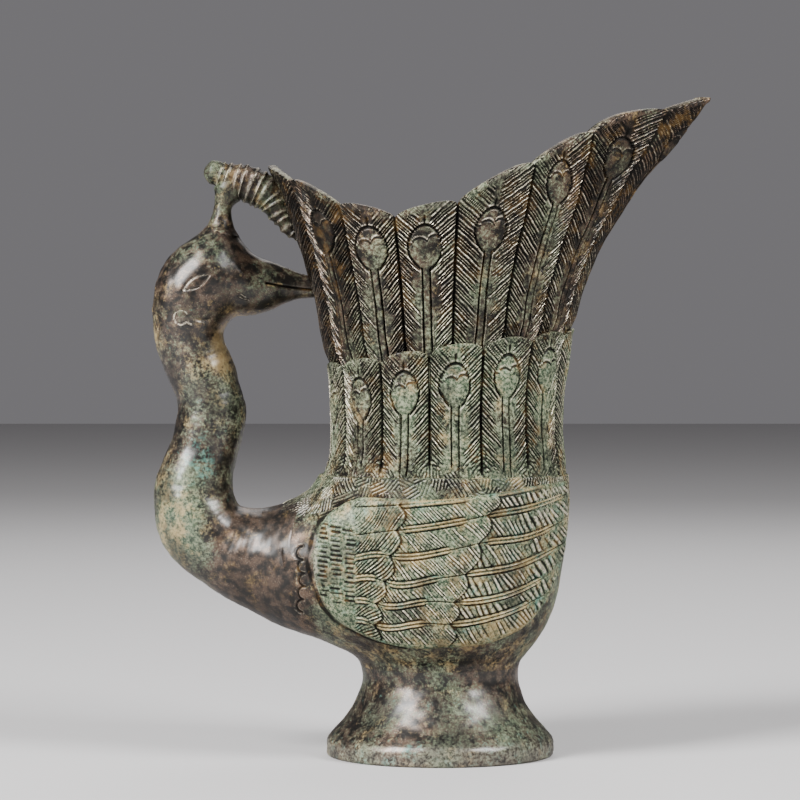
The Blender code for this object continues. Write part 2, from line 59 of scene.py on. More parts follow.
# Outline of the body and cup, as (height, reach) in millimetres from the axis of the foot
BACK_REACH = (
    (22.3, 19.75), (23.6, 20.15), (25.7, 22.0), (28.2, 25.6), (31.5, 31.5), (36.0, 37.5), (47.0, 42.5),
    (58.0, 39.0), (62.5, 35.0), (68.8, 30.0), (73.0, 27.8), (80.0, 27.1), (91.0, 27.2), (98.8, 28.0),
    (106.0, 29.3), (113.8, 30.8), (121.0, 32.9), (129.0, 35.3), (135.0, 37.3), (141.0, 39.8), (147.0, 42.3),
    (164.0, 45.0),
)
FRONT_REACH = (
    (22.3, 19.75), (23.6, 20.2), (25.4, 21.6), (28.8, 24.2), (35.0, 27.8), (46.0, 30.4), (54.0, 31.5),
    (61.0, 32.0), (76.0, 31.0), (84.0, 30.5), (91.0, 30.8), (98.8, 32.0), (106.0, 33.3), (113.8, 34.9),
    (121.0, 37.6), (128.8, 41.1), (136.0, 45.5), (143.8, 50.9), (151.0, 57.2), (158.8, 63.6), (164.0, 67.2),
)
HALF_WIDTH = (
    (22.3, 19.75), (23.6, 20.15), (26.0, 21.9), (31.0, 25.2), (40.0, 27.9), (50.0, 28.6), (62.0, 28.2),
    (70.0, 27.3), (86.0, 26.5), (98.0, 27.1), (110.0, 28.7), (122.0, 30.8), (134.0, 33.2), (146.0, 35.2),
    (164.0, 36.5),
)
WALL = 2.2
RIM_WALL = 1.7

# Spout: how sharply the plan draws in to it, and the heights between which it does so
SPOUT_POINT = 1.15
POINT_START = 86.0
POINT_END = 164.0

# Rim: the heights of its valleys and of the bow on each feather, by degrees from the spout
RIM_VALLEYS = (
    (0, 161.9), (20, 160.9), (34, 159.2), (53, 153.7), (65, 145.8), (85, 136.2), (107, 132.6), (131, 135.6),
    (156, 142.0), (180, 145.0),
)
RIM_SCALLOPS = ((0, 2.3), (15, 2.3), (30, 2.2), (50, 2.8), (75, 2.9), (110, 2.7), (140, 2.4), (180, 2.3))

# Feathers: the edges of one flank in degrees from the spout, and the drop from the rim to each eye.
# The upper tier is made in bands of rows, from its lap to its tips.
UPPER_EDGES = (-20, 20, 42, 62, 85, 108, 131, 156)
UPPER_EYE_DROPS = (15, 12.5, 10.0, 14, 10.5, 11, 12, 13)
UPPER_ROWS = 330
UPPER_COLUMNS = 58
UPPER_BANDS = (
    ("upper_feather_roots", 0, 85), ("upper_feather_stems", 85, 170), ("upper_feather_eyes", 170, 252),
    ("upper_feather_tips", 252, UPPER_ROWS - 1),
)
LOWER_ROWS = 165
LOWER_COLUMNS = 42
LOWER_EDGES = (-22, 22, 47, 71.5, 96, 122, 150, 180)
LOWER_EYE_DROPS = (9.8, 9.8, 9.8, 10.2, 10.4, 10.4, 10.4)
LOWER_TIP_BACK = 98.0
LOWER_TIP_FRONT = 106.5
LOWER_SCALLOP = 2.6
UPPER_EYE_WIDTH = 3.85
LOWER_EYE_WIDTH = 3.35
EYE_HALF_HEIGHT = 5.2
LAP_OFFSET = -0.75

# Beside the spout the feathers swing away from it, within a span of degrees and above a height
SPREAD_ANGLE = 12.0
SPREAD_SPAN = 72.0
SPREAD_START = 130.0

# Chasing of the feathers in millimetres: the barbs, and the depths and heights of the other relief
BARB_PITCH = 1.04
BARB_RISE = 7.0
BARB_DEPTH = 0.26
STROKES = 120
CROWN = 0.32
EDGE_GROOVE = 0.75
STEM_GROOVE = 0.55
STEM_RIB = 0.20
EYE_STAND = 0.24
EYE_DOME = 0.34
EYE_GROOVE = 0.50
CAP_GROOVE = 0.32
TIP_GROOVE = 0.35
SCRIBBLE_DEPTH = 0.2
CRESCENT_DEPTH = 0.35

# Neck: points on its outer and inner line at each section, as (x, z), from the breast to the head
NECK_SECTIONS = (
    ((-25.0, 29.5), (-25.0, 60.0)), ((-32.0, 31.3), (-35.0, 62.2)), ((-42.0, 35.0), (-42.5, 61.8)),
    ((-51.5, 38.8), (-47.0, 61.6)), ((-57.8, 42.5), (-49.3, 62.0)), ((-64.0, 46.3), (-50.8, 63.0)),
    ((-67.6, 50.0), (-51.8, 64.5)), ((-69.4, 53.8), (-52.3, 66.0)), ((-70.5, 58.8), (-52.6, 68.0)),
    ((-70.5, 63.8), (-52.5, 70.8)), ((-69.6, 68.8), (-52.0, 73.0)), ((-67.3, 76.3), (-50.5, 76.5)),
    ((-66.3, 81.3), (-49.3, 80.3)), ((-65.3, 86.3), (-48.5, 85.8)), ((-66.0, 91.3), (-50.0, 91.0)),
    ((-67.8, 95.5), (-51.3, 95.3)), ((-70.0, 100.8), (-53.5, 100.8)), ((-71.4, 105.8), (-54.3, 105.0)),
    ((-71.4, 110.8), (-53.8, 109.0)), ((-69.0, 116.0), (-53.0, 114.0)),
)
NECK_ROUNDNESS = 0.97

# Head: its upper and lower line in side view, as (x, z), from the back of the head to the beak
HEAD_TOP = (
    (-71.6, 111.2), (-71.3, 115.6), (-70.4, 119.4), (-68.8, 122.9), (-66.0, 126.0), (-62.5, 128.4),
    (-58.3, 130.2), (-54.5, 130.2), (-51.0, 128.6), (-46.8, 125.4), (-42.5, 123.3), (-38.0, 121.6),
    (-34.5, 120.2), (-31.0, 119.2),
)
HEAD_BOTTOM = (
    (-71.6, 110.8), (-70.2, 107.0), (-66.0, 104.8), (-60.0, 105.4), (-55.0, 107.8), (-51.2, 109.6),
    (-47.5, 109.9), (-43.0, 110.9), (-38.8, 112.7), (-35.0, 113.8), (-31.0, 114.1),
)
HEAD_NARROWNESS = 0.86
MOUTH = ((-43.0, 117.8), (-39.4, 117.1), (-35.5, 116.5), (-31.0, 116.0))
MOUTH_DEPTH = 0.55
FACE_LINE_DEPTH = 0.32

# Fillets: from the neck to the breast and the head, from the head to the stalk, from the stalk to the plume
BREAST_BLEND = 9.0
CHIN_BLEND = 4.0
CROWN_BLEND = 7.0
STALK_BLEND = 4.0

# Crest: the paths of its stalk and plume as (x, z), from the crown and from the knob, and their radii
STALK_PATH = (
    (-54.8, 122.0), (-54.6, 127.0), (-54.4, 133.0), (-54.2, 136.5), (-53.2, 140.0), (-51.6, 142.8),
)
STALK_RADII = (2.4, 2.4, 2.25, 2.2, 2.4, 2.0)
PLUME_PATH = (
    (-59.0, 145.8), (-56.4, 145.4), (-52.5, 144.0), (-47.4, 142.4), (-42.4, 139.6), (-39.4, 134.7),
    (-36.9, 130.9), (-35.1, 129.0),
)
PLUME_RADII = (2.2, 2.6, 4.0, 4.6, 4.2, 2.9, 1.7, 0.8)

# Wings: the upper and lower edge as (x, z), and the round of the flank that the columns follow
WING_TOP = (
    (-30.4, 50.5), (-29.2, 56), (-27.8, 59.4), (-24.0, 63.2), (-20, 65.2), (-13, 65.4), (0, 65.2),
    (12.5, 66.6), (25, 68.4), (31.4, 68.8),
)
WING_BOTTOM = (
    (-30.4, 49.5), (-29.5, 44.5), (-27, 38.6), (-24.4, 35.0), (-22, 33.4), (-16, 30.6), (-8, 28.8),
    (1, 28.9), (15, 31.0), (22.5, 35.2), (28, 43), (31.4, 52),
)
WING_REAR = -30.4
WING_ROUND = 31.4
WING_FRONT_TURN = 80.5
WING_COLUMNS = 420
WING_ROWS = 210
WING_BACK_ROWS = 8
WING_PLATE = 1.3
WING_EDGE = 1.6

# Lines of the wing's six shafts as (x, z), and where along x each is a pair of ridges
WING_SHAFTS = (
    ((-21.6, 63.0), (-9.3, 63.8), (7.0, 65.5), (13.8, 66.4), (25.2, 68.4), (32.4, 69.8)),
    ((-21.6, 56.2), (-11.9, 57.5), (-7.8, 57.9), (5.8, 60.1), (11.1, 61.3), (20.8, 62.8), (32.4, 65.9)),
    ((-23.3, 50.2), (-14.1, 51.9), (-11.0, 51.4), (2.6, 53.1), (8.9, 54.5), (22.5, 56.2), (32.4, 60.1)),
    ((-23.3, 45.3), (-16.3, 46.3), (-11.9, 44.8), (-0.3, 46.3), (6.7, 47.3), (19.1, 49.2), (32.4, 54.3)),
    ((-25.0, 40.2), (-18.0, 40.7), (-13.6, 39.5), (-3.0, 40.7), (5.3, 40.5), (16.9, 42.4), (32.4, 48.5)),
    ((-25.0, 34.9), (-18.5, 35.9), (-14.8, 34.4), (-3.5, 35.4), (2.6, 35.1), (14.5, 37.3), (32.4, 43.6)),
)
SHAFT_PAIRS = (
    ((-9.3, 7.0), (13.8, 25.2)),
    ((-8.8, 6.2), (11.6, 30.5)),
    ((-21.2, -13.4), (-10.7, 2.6), (11.3, 27.3)),
    ((-22.1, -14.8), (-12.2, -0.1), (6.7, 27.8)),
    ((-24.5, -16.8), (-13.6, -3.0), (5.3, 24.7)),
    ((-22.6, -16.8), (-14.8, -3.5), (3.1, 21.5)),
)

# Edges of the wing's second and third tier, as (z, x)
SECOND_TIER_EDGE = ((33.5, -15.8), (41.2, -15.3), (45.6, -13.4), (52.4, -11.9), (57.7, -10.5), (65.0, -9.5))
THIRD_TIER_EDGE = ((33.5, 1.9), (41.0, 3.3), (47.5, 6.0), (54.5, 8.9), (61.3, 11.1), (67.9, 14.0))

# Relief of the wings in millimetres
TIER_STEP = 0.42
HATCH_DEPTH = 0.17
SHAFT_HEIGHT = 0.30
SHAFT_GROOVE = 0.34
COVERT_DEPTH = 0.30

# Foot: its flare from the seat down to the edge, as (height, radius), and its collar and edge
FOOT_FLARE = (
    (22.2, 19.73), (20.2, 19.45), (18.4, 19.55), (16.2, 20.2), (12.5, 21.7), (8.8, 24.2), (6.2, 26.6),
)
FOOT_EDGE_ROUND = 3.2
FOOT_EDGE_LEVEL = 2.94
FOOT_SOLE_ROUND = 0.8
COLLAR_RADIUS = 14.0
RECESS_RADIUS = 14.3
RECESS_DEPTH = 2.5


def curve_through(place, stations):
    """Cubic spans through (place, value) stations, with the slopes of the neighbours' chords."""
    places, values = np.array(stations, dtype=float).T
    slopes = np.gradient(values, places)
    place = np.asarray(place, dtype=float)
    span = np.clip(np.searchsorted(places, place) - 1, 0, len(places) - 2)
    width = places[span + 1] - places[span]
    t = np.clip((place - places[span]) / width, 0, 1)
    start = (1 + 2 * t) * (1 - t) ** 2 * values[span] + t * (1 - t) ** 2 * width * slopes[span]
    end = t ** 2 * (3 - 2 * t) * values[span + 1] + t ** 2 * (t - 1) * width * slopes[span + 1]
    return start + end


def ease(value, low, high):
    """Smooth step from 0 at low to 1 at high."""
    t = np.clip((value - low) / (high - low), 0, 1)
    return t * t * (3 - 2 * t)


def bump(distance, width):
    """Bell of height 1 and the given half width."""
    return np.exp(-(distance / width) ** 2)


def full_turn(sides):
    """Angles at even steps round a circle."""
    return np.arange(sides) / sides * 2 * math.pi


def wall(angle, z, offset=0.0):
    """Body surface in millimetres: a half ellipse to the back and a drop shape to the front.

    x is the reach at z times the cosine, and y the half width times the sine, drawn in towards the
    spout by a power of the sine of the half angle. The offset moves the plan outwards.
    """
    point = SPOUT_POINT * np.clip((z - POINT_START) / (POINT_END - POINT_START), 0, 1)
    fullest = 2 * np.arctan(np.sqrt(1 + point))
    widest = np.sin(fullest) * np.sin(fullest / 2) ** point
    nose = np.abs(np.sin(angle / 2)) ** point / widest
    front = curve_through(z, FRONT_REACH) + offset * (1 + point)
    back = curve_through(z, BACK_REACH) + offset
    x = np.where(np.cos(angle) > 0, front, back) * np.cos(angle)
    y = (curve_through(z, HALF_WIDTH) + offset) * np.sin(angle) * nose
    return np.stack([x, y, z + 0 * x], axis=-1)


def grid_normals(points, wrap_rows=False):
    """Unit normals of a grid of rings: the cross product of the steps round and along it."""
    around = np.roll(points, -1, axis=1) - np.roll(points, 1, axis=1)
    if wrap_rows:
        along = np.roll(points, -1, axis=0) - np.roll(points, 1, axis=0)
    else:
        along = np.gradient(points, axis=0)
    normals = np.cross(around, along)
    return normals / np.maximum(np.linalg.norm(normals, axis=-1, keepdims=True), 1e-9)


def outward_normals(rings):
    """Unit normals of a grid of rings, turned away from each ring's centre."""
    normals = grid_normals(rings)
    centre = rings.mean(axis=1, keepdims=True)
    return normals * np.sign(np.sum(normals * (rings - centre), axis=-1, keepdims=True))


def uneven(points, size, depth):
    """Slow unevenness of a cast surface: a sum of sine waves of three sizes through space."""
    p = points / size * 2 * math.pi
    first = np.sin(p[..., 0] + 1.3 * np.sin(0.7 * p[..., 2])) * np.sin(0.9 * p[..., 2] + 0.4)
    second = np.sin(1.9 * p[..., 1] + 0.8 * p[..., 0] + 2.0) * np.sin(2.1 * p[..., 2] - 0.6 * p[..., 0])
    third = np.sin(4.3 * p[..., 0] - 1.0) * np.sin(3.9 * p[..., 2] + 3.1 * p[..., 1])
    return depth * (0.5 * first + 0.3 * second + 0.2 * third)


def piece(name, rings, material, slot, nodes, wrap_rows=False, **masks):
    """Skin a grid of closed rings, in millimetres from the foot's axis, as one closed piece.

    Ring follows ring in quads. The last joins the first where the rows wrap, and otherwise each end
    closes on a pole at its ring's centre. Each quad starts at a corner of the diagonal whose ends are
    nearest in relief, so that it splits along a stroke. Masks are values on the grid, kept as attributes.
    """
    rows, sides, _ = rings.shape
    index = np.arange(rows * sides).reshape(rows, sides)
    low = index if wrap_rows else index[:-1]
    high = np.roll(index, -1, axis=0) if wrap_rows else index[1:]
    quads = np.stack([low, np.roll(low, -1, axis=1), np.roll(high, -1, axis=1), high], axis=-1)
    quads = quads.reshape(-1, 4)
    relief = np.broadcast_to(masks["relief"], (rows, sides)).ravel()[quads]
    turned = np.abs(relief[:, 1] - relief[:, 3]) < np.abs(relief[:, 0] - relief[:, 2])
    quads[turned] = np.roll(quads[turned], 1, axis=1)
    vertices = rings.reshape(-1, 3)
    triangles = np.zeros((0, 3), dtype=int)
    if not wrap_rows:
        vertices = np.vstack([vertices, rings[0].mean(axis=0), rings[-1].mean(axis=0)])
        start = np.full(sides, rows * sides)
        first = np.stack([start, np.roll(index[0], -1), index[0]], axis=-1)
        last = np.stack([index[-1], np.roll(index[-1], -1), start + 1], axis=-1)
        triangles = np.vstack([first, last])
    corners = np.vstack([quads[:, [0, 1, 2]], quads[:, [0, 2, 3]], triangles])
    a, b, c = (vertices[corners[:, corner]] for corner in range(3))
    if np.sum(a * np.cross(b, c)) < 0:
        quads = quads[:, ::-1]
        triangles = triangles[:, ::-1]
    mesh = bpy.data.meshes.new(name)
    mesh.vertices.add(len(vertices))
    mesh.vertices.foreach_set("co", ((vertices + (AXIS_X / MM, 0, 0)) * MM).ravel())
    mesh.loops.add(quads.size + triangles.size)
    loops = np.concatenate([quads.ravel(), triangles.ravel()])
    mesh.loops.foreach_set("vertex_index", loops.astype(np.int32))
    mesh.polygons.add(len(quads) + len(triangles))
    starts = np.concatenate([np.arange(len(quads)) * 4, quads.size + np.arange(len(triangles)) * 3])
    mesh.polygons.foreach_set("loop_start", starts.astype(np.int32))
    mesh.update(calc_edges=True)
    mesh.validate()
    mesh.shade_smooth()
    mesh.set_sharp_from_angle(angle=math.radians(60))
    for mask, values in masks.items():
        values = np.broadcast_to(values, (rows, sides))
        flat = values.ravel()
        if not wrap_rows:
            flat = np.concatenate([flat, [values[0].mean(), values[-1].mean()]])
        attribute = mesh.attributes.new(mask, "FLOAT", "POINT")
        attribute.data.foreach_set("value", flat.astype(np.float32))
    item = bpy.data.objects.new(name, mesh)
    bpy.context.scene.collection.objects.link(item)
    mesh.materials.append(material)
    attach(item, "root")
    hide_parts(*nodes)


# Materials


def feed(tree, value, socket):
    """Link a value into a socket where it comes from another node, and otherwise set it there."""
    if isinstance(value, bpy.types.NodeSocket):
        tree.links.new(value, socket)
    else:
        socket.default_value = value


def add_node(tree, kind, settings=(), **values):
    """Add a shader node, set its properties, and feed its named inputs."""
    node = tree.nodes.new(kind)
    for name, value in settings:
        setattr(node, name, value)
    for name, value in values.items():
        feed(tree, value, node.inputs[name.replace("_", " ")])
    return node


def noise(tree, place, scale, detail=3.0, roughness=0.55):
    """Noise value at a place."""
    values = {"Vector": place, "Scale": scale, "Detail": detail, "Roughness": roughness}
    return add_node(tree, "ShaderNodeTexNoise", **values).outputs["Fac"]


def window(tree, value, low, high):
    """Smooth step of a value from 0 at low to 1 at high."""
    settings = [("interpolation_type", "SMOOTHSTEP")]
    node = add_node(tree, "ShaderNodeMapRange", settings, Value=value, From_Min=low, From_Max=high)
    return node.outputs["Result"]


def maths(tree, operation, first, second):
    """One sum on two values."""
    node = tree.nodes.new("ShaderNodeMath")
    node.operation = operation
    for socket, value in zip(node.inputs, (first, second)):
        feed(tree, value, socket)
    return node.outputs[0]


def blend_colors(tree, factor, first, second):
    """Mix two colours by a factor."""
    node = tree.nodes.new("ShaderNodeMix")
    node.data_type = "RGBA"
    for socket, value in zip((0, 6, 7), (factor, first, second)):
        feed(tree, value, node.inputs[socket])
    return node.outputs[2]


def blend_values(tree, factor, first, second):
    """Mix two values by a factor."""
    difference = maths(tree, "SUBTRACT", second, first)
    return maths(tree, "ADD", maths(tree, "MULTIPLY", difference, factor), first)


DARK_BRONZE = (0.016, 0.0145, 0.013, 1)
BROWN_BRONZE = (0.105, 0.068, 0.047, 1)
WORN_BRONZE = (0.66, 0.59, 0.46, 1)
GROOVE_DARK = (0.004, 0.0035, 0.003, 1)
GROOVE_EARTH = (0.080, 0.042, 0.012, 1)
GREEN_DEEP = (0.026, 0.054, 0.029, 1)
GREEN_PALE = (0.258, 0.290, 0.186, 1)
TURQUOISE = (0.066, 0.185, 0.150, 1)
GOLD_EARTH = (0.380, 0.265, 0.115, 1)
PALE_CRUST = (0.46, 0.43, 0.36, 1)


def patina_group():
    """Bronze patina: dark metal, mottled green, earth and turquoise, dark grooves, wear on the ridges.

    Relief runs from -1 in a groove to 1 on a ridge, and on some pieces also carries painted shade and
    highlight.
    Green, Turquoise, Gold, Pale and Wear are amounts.
    Each colour has a field of its own: a broad, a middle and a fine noise, shifted by its amount. Pale
    sets how far the green bleaches, and a broad tarnish darkens the whole in patches.
    """
    tree = bpy.data.node_groups.new("bronze_patina", "ShaderNodeTree")
    for name in ("Relief", "Green", "Turquoise", "Gold", "Pale", "Wear"):
        tree.interface.new_socket(name, in_out="INPUT", socket_type="NodeSocketFloat")
    tree.interface.new_socket("Color", in_out="OUTPUT", socket_type="NodeSocketColor")
    for name in ("Roughness", "Metallic", "Gloss", "Height"):
        tree.interface.new_socket(name, in_out="OUTPUT", socket_type="NodeSocketFloat")
    given = tree.nodes.new("NodeGroupInput").outputs
    result = tree.nodes.new("NodeGroupOutput").inputs
    place = tree.nodes.new("ShaderNodeTexCoord").outputs["Object"]
    broad = noise(tree, place, 70.0, 3.0)
    middle = noise(tree, place, 400.0, 4.0, 0.6)
    fine = noise(tree, place, 1400.0, 5.0, 0.7)
    grain = noise(tree, place, 3200.0, 3.0, 0.6)
    earths = noise(tree, place, 190.0, 6.0, 0.72)
    spots = noise(tree, place, 320.0, 5.0, 0.7)
    tarnish = noise(tree, place, 105.0, 4.0, 0.6)

    def times(first, second):
        """Product of two values."""
        return maths(tree, "MULTIPLY", first, second)

    def field(broad_noise, amount, gain):
        """Sum of a broad noise, the fine one, and an amount."""
        total = times(broad_noise, 0.72)
        total = maths(tree, "ADD", total, times(fine, 0.38))
        return maths(tree, "ADD", total, times(amount, gain))

    color = blend_colors(tree, window(tree, middle, 0.38, 0.66), DARK_BRONZE, BROWN_BRONZE)
    green = window(tree, field(blend_values(tree, 0.40, broad, middle), given["Green"], 0.28), 0.54, 0.70)
    bleached = times(window(tree, fine, 0.40, 0.62), given["Pale"])
    green_color = blend_colors(tree, bleached, GREEN_DEEP, GREEN_PALE)
    color = blend_colors(tree, times(green, 0.88), color, green_color)
    gold = window(tree, field(earths, given["Gold"], 0.36), 0.60, 0.76)
    color = blend_colors(tree, times(gold, 0.58), color, GOLD_EARTH)
    turquoise = window(tree, field(spots, given["Turquoise"], 0.34), 0.66, 0.80)
    color = blend_colors(tree, times(turquoise, 0.75), color, TURQUOISE)
    pale = times(window(tree, grain, 0.57, 0.70), window(tree, middle, 0.42, 0.62))
    color = blend_colors(tree, times(pale, 0.30), color, PALE_CRUST)
    pits = window(tree, maths(tree, "SUBTRACT", 1.0, fine), 0.58, 0.70)
    color = blend_colors(tree, times(pits, 0.65), color, DARK_BRONZE)
    color = blend_colors(tree, times(window(tree, tarnish, 0.47, 0.64), 0.6), color, DARK_BRONZE)

    groove = window(tree, times(given["Relief"], -1.0), 0.02, 0.60)
    earth = times(window(tree, earths, 0.50, 0.64), 0.65)
    groove_color = blend_colors(tree, earth, GROOVE_DARK, GROOVE_EARTH)
    color = blend_colors(tree, times(groove, 0.95), color, groove_color)
    ridge = window(tree, given["Relief"], 0.20, 0.90)
    rubbed = times(ridge, window(tree, fine, 0.34, 0.60))
    rubbed = times(rubbed, given["Wear"])
    color = blend_colors(tree, rubbed, color, WORN_BRONZE)
    tree.links.new(color, result["Color"])

    crust = maths(tree, "MAXIMUM", green, maths(tree, "MAXIMUM", gold, turquoise))
    crust = maths(tree, "MAXIMUM", crust, groove)
    crust = times(crust, maths(tree, "SUBTRACT", 1.0, rubbed))
    tree.links.new(blend_values(tree, groove, 1.0, 0.10), result["Gloss"])
    metal = blend_values(tree, crust, 0.75, 0.25)
    tree.links.new(metal, result["Metallic"])
    rough = blend_values(tree, crust, 0.38, 0.62)
    rough = maths(tree, "ADD", rough, times(maths(tree, "SUBTRACT", fine, 0.5), 0.4))
    tree.links.new(rough, result["Roughness"])
    height = maths(tree, "ADD", times(fine, 0.7), times(grain, 0.3))
    height = maths(tree, "ADD", height, times(crust, 0.25))
    tree.links.new(height, result["Height"])
    return tree


def bronze(name, green, turquoise, gold, pale, wear, coat, bump_distance):
    """One bronze finish: the shared patina with its own amounts, on the relief mask of its piece."""
    material = bpy.data.materials.new(name)
    material.use_nodes = True
    tree = material.node_tree
    shader = tree.nodes["Principled BSDF"]
    group = tree.nodes.new("ShaderNodeGroup")
    group.node_tree = PATINA
    masks = {}
    for mask in ("relief", "green", "gold", "turquoise"):
        masks[mask] = add_node(tree, "ShaderNodeAttribute", [("attribute_name", mask)]).outputs["Fac"]
    tree.links.new(masks["relief"], group.inputs["Relief"])
    tree.links.new(maths(tree, "ADD", masks["green"], green), group.inputs["Green"])
    tree.links.new(maths(tree, "ADD", masks["turquoise"], turquoise), group.inputs["Turquoise"])
    tree.links.new(maths(tree, "ADD", masks["gold"], gold), group.inputs["Gold"])
    group.inputs["Pale"].default_value = pale
    group.inputs["Wear"].default_value = wear
    bumps = add_node(tree, "ShaderNodeBump", Height=group.outputs["Height"], Strength=0.55)
    bumps.inputs["Distance"].default_value = bump_distance
    tree.links.new(bumps.outputs["Normal"], shader.inputs["Normal"])
    tree.links.new(group.outputs["Color"], shader.inputs["Base Color"])
    tree.links.new(group.outputs["Roughness"], shader.inputs["Roughness"])
    tree.links.new(group.outputs["Metallic"], shader.inputs["Metallic"])
    facing = add_node(tree, "ShaderNodeLayerWeight", Blend=0.35).outputs["Facing"]
    facing = maths(tree, "SUBTRACT", 1.0, maths(tree, "MULTIPLY", facing, 0.85))
    gloss = maths(tree, "MULTIPLY", group.outputs["Gloss"], facing)
    tree.links.new(maths(tree, "MULTIPLY", gloss, coat), shader.inputs["Coat Weight"])
    shader.inputs["Coat Roughness"].default_value = 0.28
    shader.inputs["Specular IOR Level"].default_value = 0.15
    shader.inputs["Specular Tint"].default_value = (0.45, 0.43, 0.42, 1)
    return material


PATINA = patina_group()

# Finishes: amounts of green, turquoise, gold, bleaching, wear and coat, and the depth of the bump in metres
FOOT_FINISH = bronze("foot_finish", 0.10, 0.06, 0.00, 0.45, 0.5, 0.62, 0.00020)
BELLY_FINISH = bronze("belly_finish", 0.12, 0.02, 0.06, 0.60, 0.8, 0.35, 0.00025)
UPPER_FINISH = bronze("upper_feather_finish", -0.02, -0.05, 0.06, 0.85, 0.95, 0.15, 0.00015)
LOWER_FINISH = bronze("lower_feather_finish", 0.24, 0.06, 0.12, 0.95, 0.85, 0.15, 0.00015)
WING_FINISH = bronze("wing_finish", 0.50, 0.18, 0.20, 1.00, 0.92, 0.15, 0.00018)
NECK_FINISH = bronze("neck_finish", 0.16, 0.06, 0.05, 0.65, 0.8, 0.80, 0.00018)
HEAD_FINISH = bronze("head_finish", 0.00, -0.02, -0.06, 0.30, 0.7, 0.55, 0.00018)
CREST_FINISH = bronze("crest_finish", 0.00, -0.02, 0.02, 0.35, 0.40, 0.25, 0.00018)


# Feathers of the cup wall


def feather_columns(edges, per_feather):
    """Angle, place across the feather from -1 to 1, and feather number for each column of a tier.

    One flank's edges are mirrored to the other: an edge at the back is shared, and otherwise one
    feather stands there. Columns crowd at the stem and at the edges.
    """
    flank = np.array(edges, dtype=float)
    edges = np.radians(np.unique(np.concatenate([flank, 360 - flank[1:]])))
    even = np.arange(per_feather) / per_feather * 2 - 1
    across = even - 0.3 * np.sin(2 * math.pi * even) / (2 * math.pi)
    middle = (edges[1:] + edges[:-1]) / 2
    half = np.diff(edges) / 2
    angle = middle[:, None] + half[:, None] * across
    count = len(middle)
    number = np.minimum(np.arange(count), count - np.arange(count))
    return (
        angle.ravel(), np.tile(across, count), np.repeat(np.arange(count), per_feather),
        np.repeat(number, per_feather), np.repeat(half, per_feather),
    )


def ridged(turns):
    """Wave with narrow ridges and broad grooves, from -1 to 1, one ridge to a turn."""
    wave = 0.5 + 0.5 * np.cos(turns * 2 * math.pi)
    return 2 * wave ** 1.7 - 1


def spread(angle, z):
    """Angle of a feather at a height: beside the spout the feathers swing away from it as they rise."""
    from_spout = np.arctan2(np.sin(angle), np.cos(angle))
    swing = np.sin(math.pi * np.clip(np.abs(from_spout) / math.radians(SPREAD_SPAN), 0, 1))
    swing = np.sign(from_spout) * swing * math.radians(SPREAD_ANGLE)
    return angle + swing * ease(z, SPREAD_START, POINT_END)


